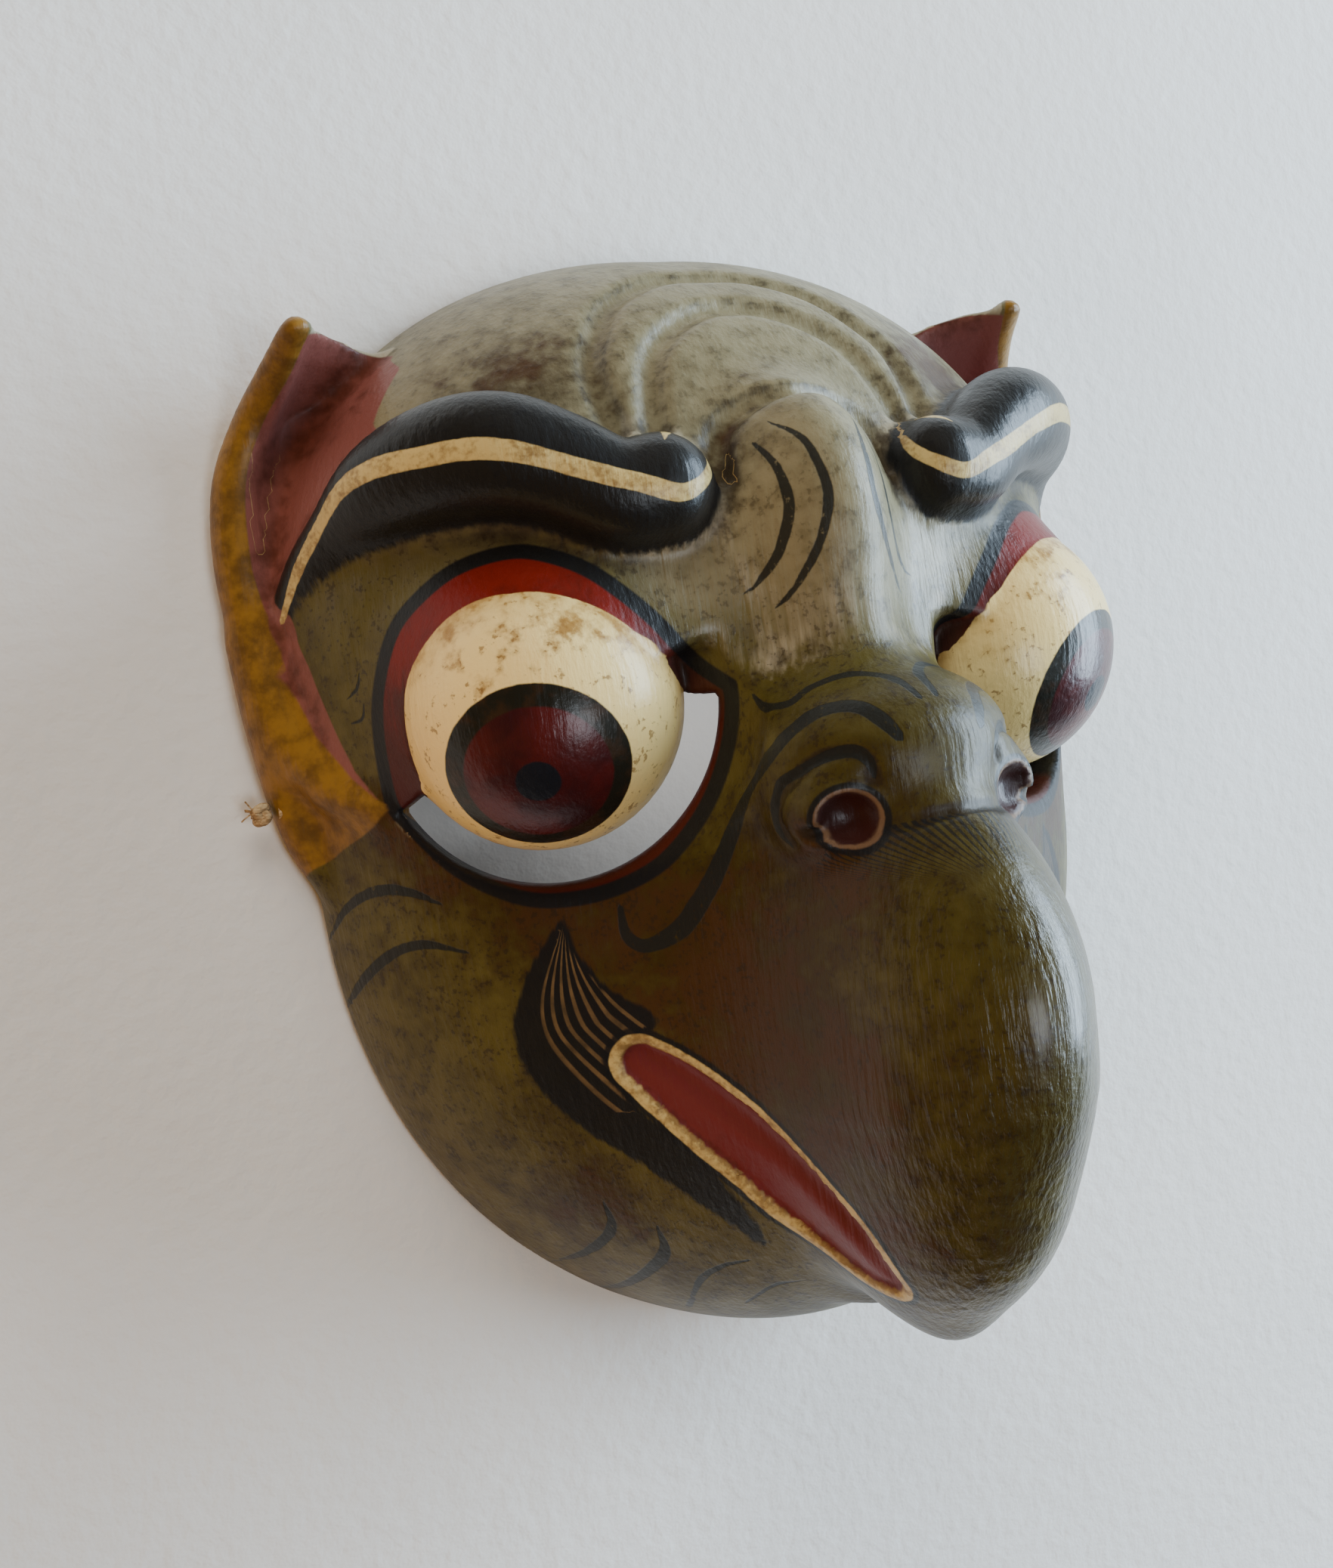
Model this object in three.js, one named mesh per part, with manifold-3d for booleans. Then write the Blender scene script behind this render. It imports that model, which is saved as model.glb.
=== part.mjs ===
// A carved wooden dance mask of a hook-beaked bird, lying face up on its back rim.
// Millimetres: x across the face, y towards the crown, z out of the face.
import * as THREE from "three";
import { mergeVertices } from "three/addons/utils/BufferGeometryUtils.js";
import Module from "manifold-3d";

const wasm = await Module();
wasm.setup();

// Rounded masses of the head: centre, half sizes and how softly each runs into the rest.
// The right half is given, and the left half mirrors it.
const SKULL = [
  { at: [0, 30, -5], size: [80, 70, 62], soft: 0 },
  { at: [10, 36, -6], size: [71.5, 63.5, 57], soft: 8 },
  { at: [0, -12, -8], size: [80.5, 93, 62], soft: 14 },
  { at: [0, -60, 14], size: [44, 42, 36], soft: 14 },
];
const FACE = [
  { at: [0, -38, 38], size: [27, 46, 63.5], soft: 24 },
  { at: [0, 2, 58], size: [24, 15, 26], soft: 7 },
  { at: [0, 17, 46], size: [12, 22, 20], soft: 8 },
  { at: [0, 42, 48], size: [14, 23, 20.5], soft: 9 },
  { at: [15, -6, 70], size: [8, 8, 9.5], soft: 3 },
];
const BEAK_HOLLOW = { at: [0, -28, 25], size: [20, 40, 46], soft: 10 };
const WALL = 8;
const HEAD_CENTRE = new THREE.Vector3(0, -2, 0);
const HEAD_REACH = 160;

// Rods that are carved along the head: x, y, z and radius at each point.
const HOOK = [
  [0, -52, 62, 23.5],
  [0, -62, 61, 22],
  [0, -72, 60, 19],
  [0, -82, 60, 12.8],
  [0, -90, 61, 6.8],
  [0, -94.5, 61.5, 1.8],
];
const HOOK_TALL = 1.42;
const LOWER_BEAK = [
  [0, -62, 34, 17],
  [0, -78, 37, 11.5],
  [0, -88, 40, 6],
  [0, -92, 42, 2.6],
];
const BROW = [
  [27, 49, 53.5, 8.8],
  [34, 49, 52, 8.6],
  [42, 54, 49, 9],
  [50, 57.5, 45.5, 9.8],
  [57.5, 58, 40, 9.6],
  [65, 56, 32, 8.2],
  [70.5, 51.5, 22.5, 5.8],
  [75.6, 45, 14, 3.9],
  [79.5, 38.5, 8.5, 1.9],
];
const EAR_RIM = [
  [73.5, 85, 22, 2],
  [76, 79.5, 13, 3],
  [79.3, 73, 6, 3.6],
  [83.2, 63, 3, 4.2],
  [84.6, 50, 3, 4.6],
  [83.5, 35, 3, 4.8],
  [81.5, 20, 6, 5],
  [77, 9, 13, 4],
  [72, 4, 20.5, 2],
];
const EAR_TAIL = [
  [83.5, 35, 2, 4.8],
  [82.5, 15, 3, 5],
  [80, 0, 3, 4.2],
  [77, -9, 5, 2],
];
const EAR_ROOT = [
  [54, 82, 6],
  [60, 77, 4],
  [66, 69, 2],
  [71, 58, 1],
  [75, 44, 2],
  [76, 30, 4],
  [75, 16, 8],
  [72, 6, 14],
];
const EAR_LEAF_THICK = 4.4;
const EAR_LEAF_SAG = 3;
const EAR_LEAF_LOWEST = 2.6;
// How far the middle of the leaf's top edge rises above the line between its corners.
const EAR_CREST = 3.4;
const EAR_CREST_FADE = 6;

// Grooves, given by points near the surface that they follow.
const FOREHEAD_FOLDS = [
  [[30.5, 60, 48], [29.5, 71, 39], [25.5, 77.8, 35], [19.5, 83.8, 30], [9, 88, 26], [0, 89, 25.5]],
  [[24.5, 57.5, 50], [22, 67.5, 45.8], [18, 74, 41], [11.5, 78.5, 37.8], [0, 81.3, 35]],
  [[17, 50, 55], [14.5, 57.5, 53], [9, 62.5, 54], [0, 64.5, 56]],
];
const FOLD_RADIUS = 2.2;
const FOLD_LIFT = 0.3;
const CERE_LINE = [[22, -8.5, 74], [14, -9, 80.5], [7, -8.5, 84], [0, -8.5, 85.5]];
const CERE_LINE_RADIUS = 1;
// The mouth's middle line on the surface, half its width there and the way the surface faces.
const MOUTH = [
  { at: [40.7, -43.8, 43], half: 3.7, out: [0.66, -0.16, 0.73] },
  { at: [36.9, -48, 45.9], half: 4.8, out: [0.73, -0.15, 0.67] },
  { at: [31.8, -54.6, 50.3], half: 5.9, out: [0.78, -0.19, 0.59] },
  { at: [26.8, -61.5, 54.6], half: 6.4, out: [0.81, -0.29, 0.5] },
  { at: [22.2, -68.8, 59.5], half: 6.4, out: [0.92, -0.33, 0.21] },
  { at: [19.6, -73.8, 64.3], half: 5.6, out: [0.93, -0.32, 0.15] },
  { at: [17.6, -77.8, 66.8], half: 4.4, out: [0.9, -0.4, 0.17] },
  { at: [15.1, -81.7, 69], half: 2.4, out: [0.82, -0.52, 0.24] },
];
const MOUTH_DEPTH = 2;

const NOSTRIL = { at: [16.5, -7.3, 79.5], size: [5.2, 4.2, 4.5] };

// The eyes: a ball under an upper lid, a dished socket below and inside it, and a crescent to
// look through below it.
const EYE = new THREE.Vector3(45.6, 17.1, 35.6);
const EYE_RADIUS = 23.9;
const EYE_TURN = THREE.MathUtils.degToRad(28);
const SOCKET = { at: [-2, -2, 14], size: [34.6, 32.3, 16] };
const SOCKET_TOP = { turn: -21.6, at: -4 };
// The upper lid: a larger ball set back, which leaves the eyeball in a ring.
const LID = { at: [0, 2.6, -7.8], size: [28.2, 28.2, 28.2] };
const SLIT = { inner: 23.3, outer: 29.4, from: -176, to: -28, back: -14, front: 30 };

const HOLE = { y: 6, z: 4.8, radius: 2, from: 60, to: 95 };
// The twine's middle line, and the knots that hold it outside the two holes.
const TWINE_ROUTE = [
  [85.3, 6, 4.8],
  [77, 6, 4.8],
  [69.5, 6, 4.6],
  [62.5, 11, 2.2],
  [53, 21, 1.4],
  [38, 28, 1.4],
  [20, 26, 1.4],
  [4, 34, 1.4],
  [-12, 42, 1.4],
  [-30, 38, 1.4],
  [-45, 30, 1.4],
  [-55, 21, 1.4],
  [-62.5, 11.5, 2.2],
  [-69.5, 6, 4.6],
  [-77, 6, 4.8],
  [-85.3, 6, 4.8],
];
const TWINE_RADIUS = 1.25;
const TWINE_SIDES = 8;
const TWINE_STEP = 6;
const KNOT = { at: [88.2, 6, 4.8], size: [2.6, 3, 2.6] };

const WOOD = new THREE.MeshStandardMaterial({ color: 0x4b4a2c, roughness: 0.5, metalness: 0 });
const TWINE = new THREE.MeshStandardMaterial({ color: 0x9c7c4e, roughness: 0.9, metalness: 0 });

// Distance from a point to an ellipsoid, negative inside.
function ellipsoidDistance(p, { at, size }) {
  const q = [0, 1, 2].map((i) => (p.getComponent(i) - at[i]) / size[i]);
  const far = Math.hypot(...q);
  const slope = Math.hypot(...q.map((v, i) => v / size[i]));
  return (far * (far - 1)) / Math.max(slope, 1e-6);
}

function softMin(a, b, soft) {
  const h = soft ? Math.max(soft - Math.abs(a - b), 0) / soft : 0;
  return Math.min(a, b) - (h * h * soft) / 4;
}

function massDistance(p, masses) {
  const half = new THREE.Vector3(Math.abs(p.x), p.y, p.z);
  return masses.reduce((d, mass) => softMin(d, ellipsoidDistance(half, mass), mass.soft), Infinity);
}

const faceDistance = (p) => massDistance(p, [...SKULL, ...FACE]);
const hollowDistance = (p) => {
  const skull = massDistance(p, SKULL) + WALL;
  return softMin(skull, ellipsoidDistance(p, BEAK_HOLLOW), BEAK_HOLLOW.soft);
};

// Points moved along the slope of the face until they lie on it, then raised off it by lift.
function settled(points, lift = 0) {
  return points.map((point) => {
    const p = new THREE.Vector3(...point);
    const normal = new THREE.Vector3();
    const step = 0.2;
    for (let pass = 0; pass < 8; pass++) {
      const slope = new THREE.Vector3();
      for (const axis of ["x", "y", "z"]) {
        const ahead = p.clone();
        const behind = p.clone();
        ahead[axis] += step;
        behind[axis] -= step;
        slope[axis] = faceDistance(ahead) - faceDistance(behind);
      }
      normal.copy(slope).normalize();
      p.addScaledVector(normal, -faceDistance(p));
    }
    return p.addScaledVector(normal, lift).toArray();
  });
}

// A geometry with each vertex moved by the function move.
function moved(geometry, move) {
  const position = geometry.attributes.position;
  const v = new THREE.Vector3();
  for (let i = 0; i < position.count; i++) {
    move(v.fromBufferAttribute(position, i));
    position.setXYZ(i, v.x, v.y, v.z);
  }
  return geometry;
}

// A closed geometry as a solid; side -1 gives its mirror image across the middle of the face.
function solid(geometry, side = 1) {
  const bare = geometry.clone();
  bare.deleteAttribute("normal");
  bare.deleteAttribute("uv");
  const merged = mergeVertices(bare, 1e-4);
  const vertProperties = new Float32Array(merged.attributes.position.array);
  const corners = Array.from(merged.index.array);
  const triVerts = [];
  for (let i = 0; i < corners.length; i += 3) {
    const [a, b, c] = corners.slice(i, i + 3);
    if (a === b || b === c || c === a) continue;
    triVerts.push(...(side > 0 ? [a, b, c] : [a, c, b]));
  }
  if (side < 0) {
    for (let i = 0; i < vertProperties.length; i += 3) vertProperties[i] *= -1;
  }
  return new wasm.Manifold(
    new wasm.Mesh({ numProp: 3, vertProperties, triVerts: new Uint32Array(triVerts) }),
  );
}

const pair = (geometry) => solid(geometry).add(solid(geometry, -1));

// A domed solid on the plane z = base, pushed out along its rays to where distance is zero.
function dome(distance, around, rows, base) {
  const cap = new THREE.SphereGeometry(1, around, rows, 0, 2 * Math.PI, 0, Math.PI / 2);
  cap.rotateX(Math.PI / 2);
  const disc = new THREE.CircleGeometry(1, around);
  disc.rotateX(Math.PI);
  for (const geometry of [cap, disc]) {
    moved(geometry, (v) => {
      if (v.length() < 0.5) {
        v.copy(HEAD_CENTRE).setZ(base);
        return;
      }
      const ray = v.clone().normalize();
      let inside = 0;
      let outside = HEAD_REACH;
      for (let pass = 0; pass < 40; pass++) {
        const middle = (inside + outside) / 2;
        v.copy(HEAD_CENTRE).addScaledVector(ray, middle);
        if (distance(v) < 0) inside = middle;
        else outside = middle;
      }
      if (Math.abs(ray.z) < 1e-6) v.z = base;
    });
  }
  return joinedGeometry([cap, disc]);
}

function joinedGeometry(parts) {
  const positions = [];
  for (const part of parts) {
    positions.push(...part.toNonIndexed().attributes.position.array);
  }
  const geometry = new THREE.BufferGeometry();
  geometry.setAttribute("position", new THREE.Float32BufferAttribute(positions, 3));
  return geometry;
}

// A sphere drawn out along a route into a rod with round ends.
function rod(route, around, along, capRows, tall = 1) {
  const spine = new THREE.CatmullRomCurve3(
    route.map(([x, y, z]) => new THREE.Vector3(x, y, z)),
    false,
    "catmullrom",
  );
  const rows = along + 2 * capRows;
  const last = route.length - 1;
  const radiusAt = (t) => {
    const i = Math.min(Math.floor(t * last), last - 1);
    return THREE.MathUtils.lerp(route[i][3], route[i + 1][3], t * last - i);
  };
  return moved(new THREE.SphereGeometry(1, around, rows), (v) => {
    const row = (Math.acos(THREE.MathUtils.clamp(v.y, -1, 1)) / Math.PI) * rows;
    const turn = Math.atan2(v.z, v.x);
    const t = THREE.MathUtils.clamp((row - capRows) / along, 0, 1);
    const lean = THREE.MathUtils.clamp(
      row < capRows ? row - capRows : row - capRows - along,
      row < capRows ? -capRows : 0,
      capRows,
    );
    const tip = (lean / capRows) * (Math.PI / 2);
    const tangent = spine.getTangent(t);
    const across = new THREE.Vector3(0, 0, 1).cross(tangent).normalize();
    const up = tangent.clone().cross(across);
    const radius = radiusAt(t);
    spine.getPoint(t, v);
    v.addScaledVector(tangent, radius * Math.sin(tip));
    v.addScaledVector(across, radius * Math.cos(tip) * Math.cos(turn));
    v.addScaledVector(up, tall * radius * Math.cos(tip) * Math.sin(turn));
  });
}

function ball({ at, size }, around = 20, rows = 14) {
  return new THREE.SphereGeometry(1, around, rows).scale(...size).translate(...at);
}

// The leaf of the ear: a box bent into the hollow plate between the ear's root and its rim.
function earLeaf() {
  const curve = (points) =>
    new THREE.CatmullRomCurve3(
      points.map(([x, y, z]) => new THREE.Vector3(x, y, z)),
      false,
      "catmullrom",
    );
  const root = curve(EAR_ROOT);
  const rim = curve(EAR_RIM);
  return moved(new THREE.BoxGeometry(1, 1, 1, 2, 11, 1), (v) => {
    const across = v.x + 0.5;
    const along = 0.5 - v.y;
    const thick = v.z * EAR_LEAF_THICK;
    const inner = root.getPoint(along);
    const edge = rim.getPoint(along);
    const outward = edge.clone().sub(inner).normalize();
    const normal = outward.clone().cross(rim.getTangent(along)).negate().normalize();
    v.lerpVectors(inner, edge, across);
    const bulge = Math.sin(Math.PI * across);
    v.z = Math.max(v.z - EAR_LEAF_SAG * bulge, EAR_LEAF_LOWEST);
    v.y += EAR_CREST * bulge * (1 - along) ** EAR_CREST_FADE;
    v.addScaledVector(normal, thick);
  });
}

// A shape in the plane of the eye, moved to where the right eye looks.
function facingEye(geometry) {
  return geometry.rotateY(EYE_TURN).translate(...EYE.toArray());
}

// The dish round the lower and inner part of one eye.
function socket(side) {
  const upper = new THREE.BoxGeometry(90, 60, 60).translate(0, 30 + SOCKET_TOP.at, SOCKET.at[2]);
  upper.rotateZ(THREE.MathUtils.degToRad(SOCKET_TOP.turn));
  const dish = solid(facingEye(ball(SOCKET, 22, 12)), side);
  return dish.subtract(solid(facingEye(upper), side));
}

function slit() {
  const { inner, outer, from, to, back, front } = SLIT;
  const [start, end] = [from, to].map(THREE.MathUtils.degToRad);
  const shape = new THREE.Shape();
  shape.absarc(0, 0, outer, start, end, false);
  shape.absarc(0, 0, inner, end, start, true);
  const crescent = new THREE.ExtrudeGeometry(shape, {
    depth: front - back,
    bevelEnabled: false,
    curveSegments: 14,
  });
  return facingEye(crescent.translate(0, 0, back));
}

// A mirrored groove as one rod from side to side.
function acrossFace(points, radius) {
  const right = settled(points, FOLD_LIFT).map((p) => [...p, radius]);
  const left = right.slice(0, -1).map(([x, ...rest]) => [-x, ...rest]);
  return [...left, ...right.reverse()];
}

// A rod held off the surface, so that it dips into it by the mouth's depth.
function mouthCut() {
  const route = MOUTH.map(({ at, half, out }) => {
    const radius = (half ** 2 + MOUTH_DEPTH ** 2) / (2 * MOUTH_DEPTH);
    const centre = new THREE.Vector3(...at);
    centre.addScaledVector(new THREE.Vector3(...out).normalize(), radius - MOUTH_DEPTH);
    return [...centre.toArray(), radius];
  });
  return rod(route, 18, 8, 3);
}

function makeMask() {
  let mask = solid(dome(faceDistance, 48, 20, 0));
  mask = mask.add(solid(rod(HOOK, 16, 7, 2, HOOK_TALL))).add(solid(rod(LOWER_BEAK, 10, 6, 2)));
  for (const [i, fold] of FOREHEAD_FOLDS.entries()) {
    mask = mask.subtract(solid(rod(acrossFace(fold, FOLD_RADIUS), 6, 22 - 5 * i, 1)));
  }
  mask = mask.subtract(solid(rod(acrossFace(CERE_LINE, CERE_LINE_RADIUS), 4, 10, 1)));
  mask = mask.subtract(pair(mouthCut()));
  mask = mask.add(pair(facingEye(ball(LID, 18, 10))));
  mask = mask.subtract(socket(1)).subtract(socket(-1));
  mask = mask.subtract(pair(ball(NOSTRIL, 10, 6)));
  mask = mask.add(pair(rod(BROW, 10, 12, 3)));
  mask = mask.add(pair(rod(EAR_RIM, 8, 13, 1)));
  mask = mask.add(pair(rod(EAR_TAIL, 8, 4, 1)));
  mask = mask.add(pair(earLeaf()));
  mask = mask.subtract(pair(slit()));
  mask = mask.add(pair(facingEye(new THREE.SphereGeometry(EYE_RADIUS, 20, 13))));
  const hollow = dome(hollowDistance, 32, 9, 0).translate(0, 0, -0.01);
  mask = mask.subtract(solid(hollow));
  mask = mask.subtract(pair(facingEye(new THREE.SphereGeometry(EYE_RADIUS - WALL, 12, 8))));
  const { y, z, radius, from, to } = HOLE;
  const drill = new THREE.CylinderGeometry(radius, radius, to - from, 8);
  drill.rotateZ(Math.PI / 2).translate((from + to) / 2, y, z);
  mask = mask.subtract(pair(drill));
  const slab = new THREE.BoxGeometry(400, 400, 60).translate(0, 0, -30);
  return mask.subtract(solid(slab));
}

function meshOf(made, name, material) {
  const { vertProperties, triVerts } = made.getMesh();
  const geometry = new THREE.BufferGeometry();
  geometry.setAttribute("position", new THREE.BufferAttribute(vertProperties, 3));
  geometry.setIndex(new THREE.BufferAttribute(triVerts, 1));
  const mesh = new THREE.Mesh(geometry, material);
  mesh.name = name;
  return mesh;
}

// The tie: twine from a knot outside one hole, slack inside the hollow, to the other knot.
function makeTwine() {
  const route = TWINE_ROUTE.map((point) => new THREE.Vector3(...point));
  const spine = new THREE.CatmullRomCurve3(route, false, "catmullrom");
  const section = new THREE.Shape();
  for (let i = 0; i < TWINE_SIDES; i++) {
    const turn = (2 * Math.PI * i) / TWINE_SIDES;
    const corner = [TWINE_RADIUS * Math.cos(turn), TWINE_RADIUS * Math.sin(turn)];
    if (i === 0) section.moveTo(...corner);
    else section.lineTo(...corner);
  }
  const steps = Math.round(spine.getLength() / TWINE_STEP);
  const tube = new THREE.ExtrudeGeometry(section, { steps, extrudePath: spine, bevelEnabled: false });
  const mesh = new THREE.Mesh(tube, TWINE);
  mesh.name = "twine";
  return mesh;
}

function makeKnot(name, side) {
  const knot = new THREE.Mesh(new THREE.SphereGeometry(1, 10, 6), TWINE);
  knot.scale.set(...KNOT.size);
  knot.position.set(side * KNOT.at[0], KNOT.at[1], KNOT.at[2]);
  knot.name = name;
  return knot;
}

const mask = meshOf(makeMask(), "mask", WOOD);
const extent = new THREE.Box3().setFromObject(mask);
const lyingMask = new THREE.Group();
lyingMask.add(mask, makeTwine(), makeKnot("knot_left", -1), makeKnot("knot_right", 1));
lyingMask.position.y = -(extent.min.y + extent.max.y) / 2;
lyingMask.updateMatrixWorld(true);

export default lyingMask;
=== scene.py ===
# %% [markdown]
# # A carved bird mask, lying face up
# The object is a hollow wooden face mask of a hook-beaked bird, carved from one block, painted,
# waxed and rubbed back, with a twine tie. This lesson dresses its solid model: the carved form
# is worked out again in fine steps, and every line of paint is laid on it by measure.
# Sizes below are in millimetres, with x across the face, y towards the crown and z out of it.

# %% Load the solid model
import bpy
import numpy as np
from mathutils import Matrix, Vector


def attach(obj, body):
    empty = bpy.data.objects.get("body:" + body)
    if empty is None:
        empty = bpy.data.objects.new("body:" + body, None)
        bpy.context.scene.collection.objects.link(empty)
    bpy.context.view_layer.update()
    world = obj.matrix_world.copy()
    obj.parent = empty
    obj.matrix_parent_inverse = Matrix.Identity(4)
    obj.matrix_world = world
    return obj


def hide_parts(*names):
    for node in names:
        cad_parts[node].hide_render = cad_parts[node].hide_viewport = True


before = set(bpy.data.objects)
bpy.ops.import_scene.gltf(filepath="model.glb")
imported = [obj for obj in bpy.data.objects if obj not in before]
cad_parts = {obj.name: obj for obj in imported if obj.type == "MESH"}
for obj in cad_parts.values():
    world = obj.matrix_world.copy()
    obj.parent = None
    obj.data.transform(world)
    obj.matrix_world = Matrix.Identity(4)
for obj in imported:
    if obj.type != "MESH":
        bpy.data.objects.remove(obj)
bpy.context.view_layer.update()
MM = 0.001
LIFT_Y = 2.25  # the head's own zero lies this far below the middle of its outline


def placed(points):
    """Points of the head, in millimetres, as metres in the shared frame."""
    return (np.asarray(points, float) + [0, LIFT_Y, 0]) * MM


# %% [markdown]
# ## The camera
# The picture was taken from close by, a little to the bird's right-hand side, and tilted. The
# camera's directions come from three turns: round the head, up, and a roll.

# %% Camera
TURN, RISE, ROLL = 0.4392, 0.0349, -0.1478
AWAY = np.array([-7.38, -1.6, 316.96])
LENS, SENSOR, NEAREST, FURTHEST = 36.43, 36, 0.01, 10


def camera_axes(turn, rise, roll):
    """Right, up and back of a camera that looks at the face."""
    back = np.array([-np.sin(turn) * np.cos(rise), np.sin(rise), np.cos(turn) * np.cos(rise)])
    right = np.cross([0, 1, 0], back)
    right /= np.linalg.norm(right)
    up = np.cross(back, right)
    c, s = np.cos(roll), np.sin(roll)
    return np.array([c * right + s * up, -s * right + c * up, back])


axes = camera_axes(TURN, RISE, ROLL)
camera_data = bpy.data.cameras.new("camera")
camera_data.sensor_width, camera_data.lens = SENSOR, LENS
camera = bpy.data.objects.new("camera", camera_data)
bpy.context.scene.collection.objects.link(camera)
pose = Matrix(axes.T.tolist()).to_4x4()
pose.translation = Vector(placed(AWAY @ axes))
camera.matrix_world = pose
camera_data.clip_start, camera_data.clip_end = NEAREST, FURTHEST
bpy.context.scene.camera = camera
print("camera at", [round(v, 3) for v in camera.location])


# %% [markdown]
# ## The tie
# The mask is tied on with plant-fibre twine that runs through a hole in each side of the rim
# and is held by a knot outside it. Only one knot shows in the picture. The twine's section has
# three lobes that turn along it, as strands do. The slack lies in the hollow.

# %% Twine along its route
TWINE_ROUTE = [
    (85.3, 6, 4.8), (77, 6, 4.8), (69.5, 6, 4.6), (62.5, 11, 2.2), (53, 21, 1.4), (38, 28, 1.4),
    (20, 26, 1.4), (4, 34, 1.4), (-12, 42, 1.4), (-30, 38, 1.4), (-45, 30, 1.4), (-55, 21, 1.4),
    (-62.5, 11.5, 2.2), (-69.5, 6, 4.6), (-77, 6, 4.8), (-85.3, 6, 4.8),
]
TWINE_THICK, TWINE_LAY = 2.5, 5.2
LOBE = 0.14  # how far the grooves between strands go in, as a part of the radius


def smooth_route(points, steps):
    """Catmull-Rom points along a route, each with as many numbers as the given ones."""
    p = np.array(points, float)
    p = np.vstack([2 * p[0] - p[1], p, 2 * p[-1] - p[-2]])
    t = (np.arange(steps) / steps)[:, None]
    rows = []
    for a, b, c, d in zip(p[:-3], p[1:-2], p[2:-1], p[3:]):
        rows.append(0.5 * (2 * b + (c - a) * t + (2 * a - 5 * b + 4 * c - d) * t**2
                           + (3 * b - a - 3 * c + d) * t**3))
    return np.vstack([*rows, p[-2:-1]])


def mesh_piece(name, vertices, faces):
    """A mesh object from millimetre points and faces of equal corner count."""
    faces = np.asarray(faces, np.int32)
    mesh = bpy.data.meshes.new(name)
    mesh.vertices.add(len(vertices))
    mesh.vertices.foreach_set("co", placed(vertices).astype(np.float32).ravel())
    mesh.loops.add(faces.size)
    mesh.loops.foreach_set("vertex_index", faces.ravel())
    mesh.polygons.add(len(faces))
    starts = np.arange(0, faces.size, faces.shape[1], dtype=np.int32)
    mesh.polygons.foreach_set("loop_start", starts)
    mesh.polygons.foreach_set("use_smooth", np.ones(len(faces), bool))
    mesh.update(calc_edges=True)
    mesh.validate()
    piece = bpy.data.objects.new(name, mesh)
    bpy.context.scene.collection.objects.link(piece)
    return piece


def laid_rope(path, thick, lay, around=18):
    """Vertices and triangles of a three-strand rope with closed ends along a path."""
    tangent = np.gradient(path, axis=0)
    tangent /= np.linalg.norm(tangent, axis=1)[:, None]
    side = np.cross(tangent, [0.03, 0.05, 1])
    side /= np.linalg.norm(side, axis=1)[:, None]
    up = np.cross(side, tangent)
    run = np.concatenate([[0], np.cumsum(np.linalg.norm(np.diff(path, axis=0), axis=1))])
    angle = np.linspace(0, 2 * np.pi, around, endpoint=False)
    twist = angle - 2 * np.pi * run[:, None] / lay
    radius = thick / 2 * (1 - LOBE + LOBE * np.abs(np.cos(1.5 * twist)) ** 0.7)
    ring = side[:, None] * np.cos(angle)[:, None] + up[:, None] * np.sin(angle)[:, None]
    body = path[:, None] + ring * radius[..., None]
    i, j = np.indices((len(path) - 1, around)).reshape(2, -1)
    k = (j + 1) % around
    here, ahead, end = i * around, (i + 1) * around, len(path) * around
    first, last = j[:around] * 0 + end, end - around
    corners = [(here + j, here + k, ahead + k), (here + j, ahead + k, ahead + j),
               (first, k[:around], j[:around]), (first + 1, last + j[:around], last + k[:around])]
    return np.vstack([body.reshape(-1, 3), path[:1], path[-1:]]), np.hstack(corners).T


twine_path = smooth_route(TWINE_ROUTE, 24)
twine = mesh_piece("twine_tie", *laid_rope(twine_path, TWINE_THICK, TWINE_LAY))

# %% [markdown]
# ## The knots
# Outside each hole the twine is tied in a small overhand knot, and its cut end frays. The knot
# is the same rope led round in a tight trefoil, and the frayed fibres are thin bent rods.

# %% Overhand knots with frayed ends
KNOT_AT = (88.2, 6, 4.8)
LOOP_SIZE = np.array([0.5704, 0.46, 0.3864])
FRAYS, FRAY_LENGTH = 5, 1.1
STRANDS = (1.7, 3.0, 12)  # thickness, lay and corners of the knot's rope
FIBRES = (0.3, 9.0, 5)  # and of each frayed fibre


def knot_path(side):
    """A trefoil loop, squeezed to the knot's size, that ends in a short tail."""
    t = np.linspace(0.15, 2 * np.pi + 0.1, 60)
    x, y, z = np.sin(t) + 2 * np.sin(2 * t), np.cos(t) - 2 * np.cos(2 * t), -1.6 * np.sin(3 * t)
    return (np.array(KNOT_AT) + np.stack([z, x, y], 1) * LOOP_SIZE) * [side, 1, 1]


def frayed_ends(side):
    """Paths of the loose fibres that stand out of a knot."""
    rng = np.random.default_rng(7)
    start = np.array(KNOT_AT) * [side, 1, 1] + [side * 1.2, 0.6, 0.4]
    paths = []
    for _ in range(FRAYS):
        lean = rng.normal(0, 1, 3) * [0.5, 0.9, 0.7] + [side * 0.9, 0.5, 0.1]
        bend = rng.normal(0, 0.5, 3)
        s = np.linspace(0, 1, 6)[:, None]
        paths.append(start + lean * s * FRAY_LENGTH + bend * s**2)
    return paths


def make_knot(side, label):
    """One knot with its fray, as one mesh."""
    vertices, faces, base = [], [], 0
    for path, form in [(knot_path(side), STRANDS), *((p, FIBRES) for p in frayed_ends(side))]:
        points, triangles = laid_rope(path, *form)
        vertices.append(points)
        faces.append(triangles + base)
        base += len(points)
    return mesh_piece(label, np.vstack(vertices), np.vstack(faces))


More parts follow.
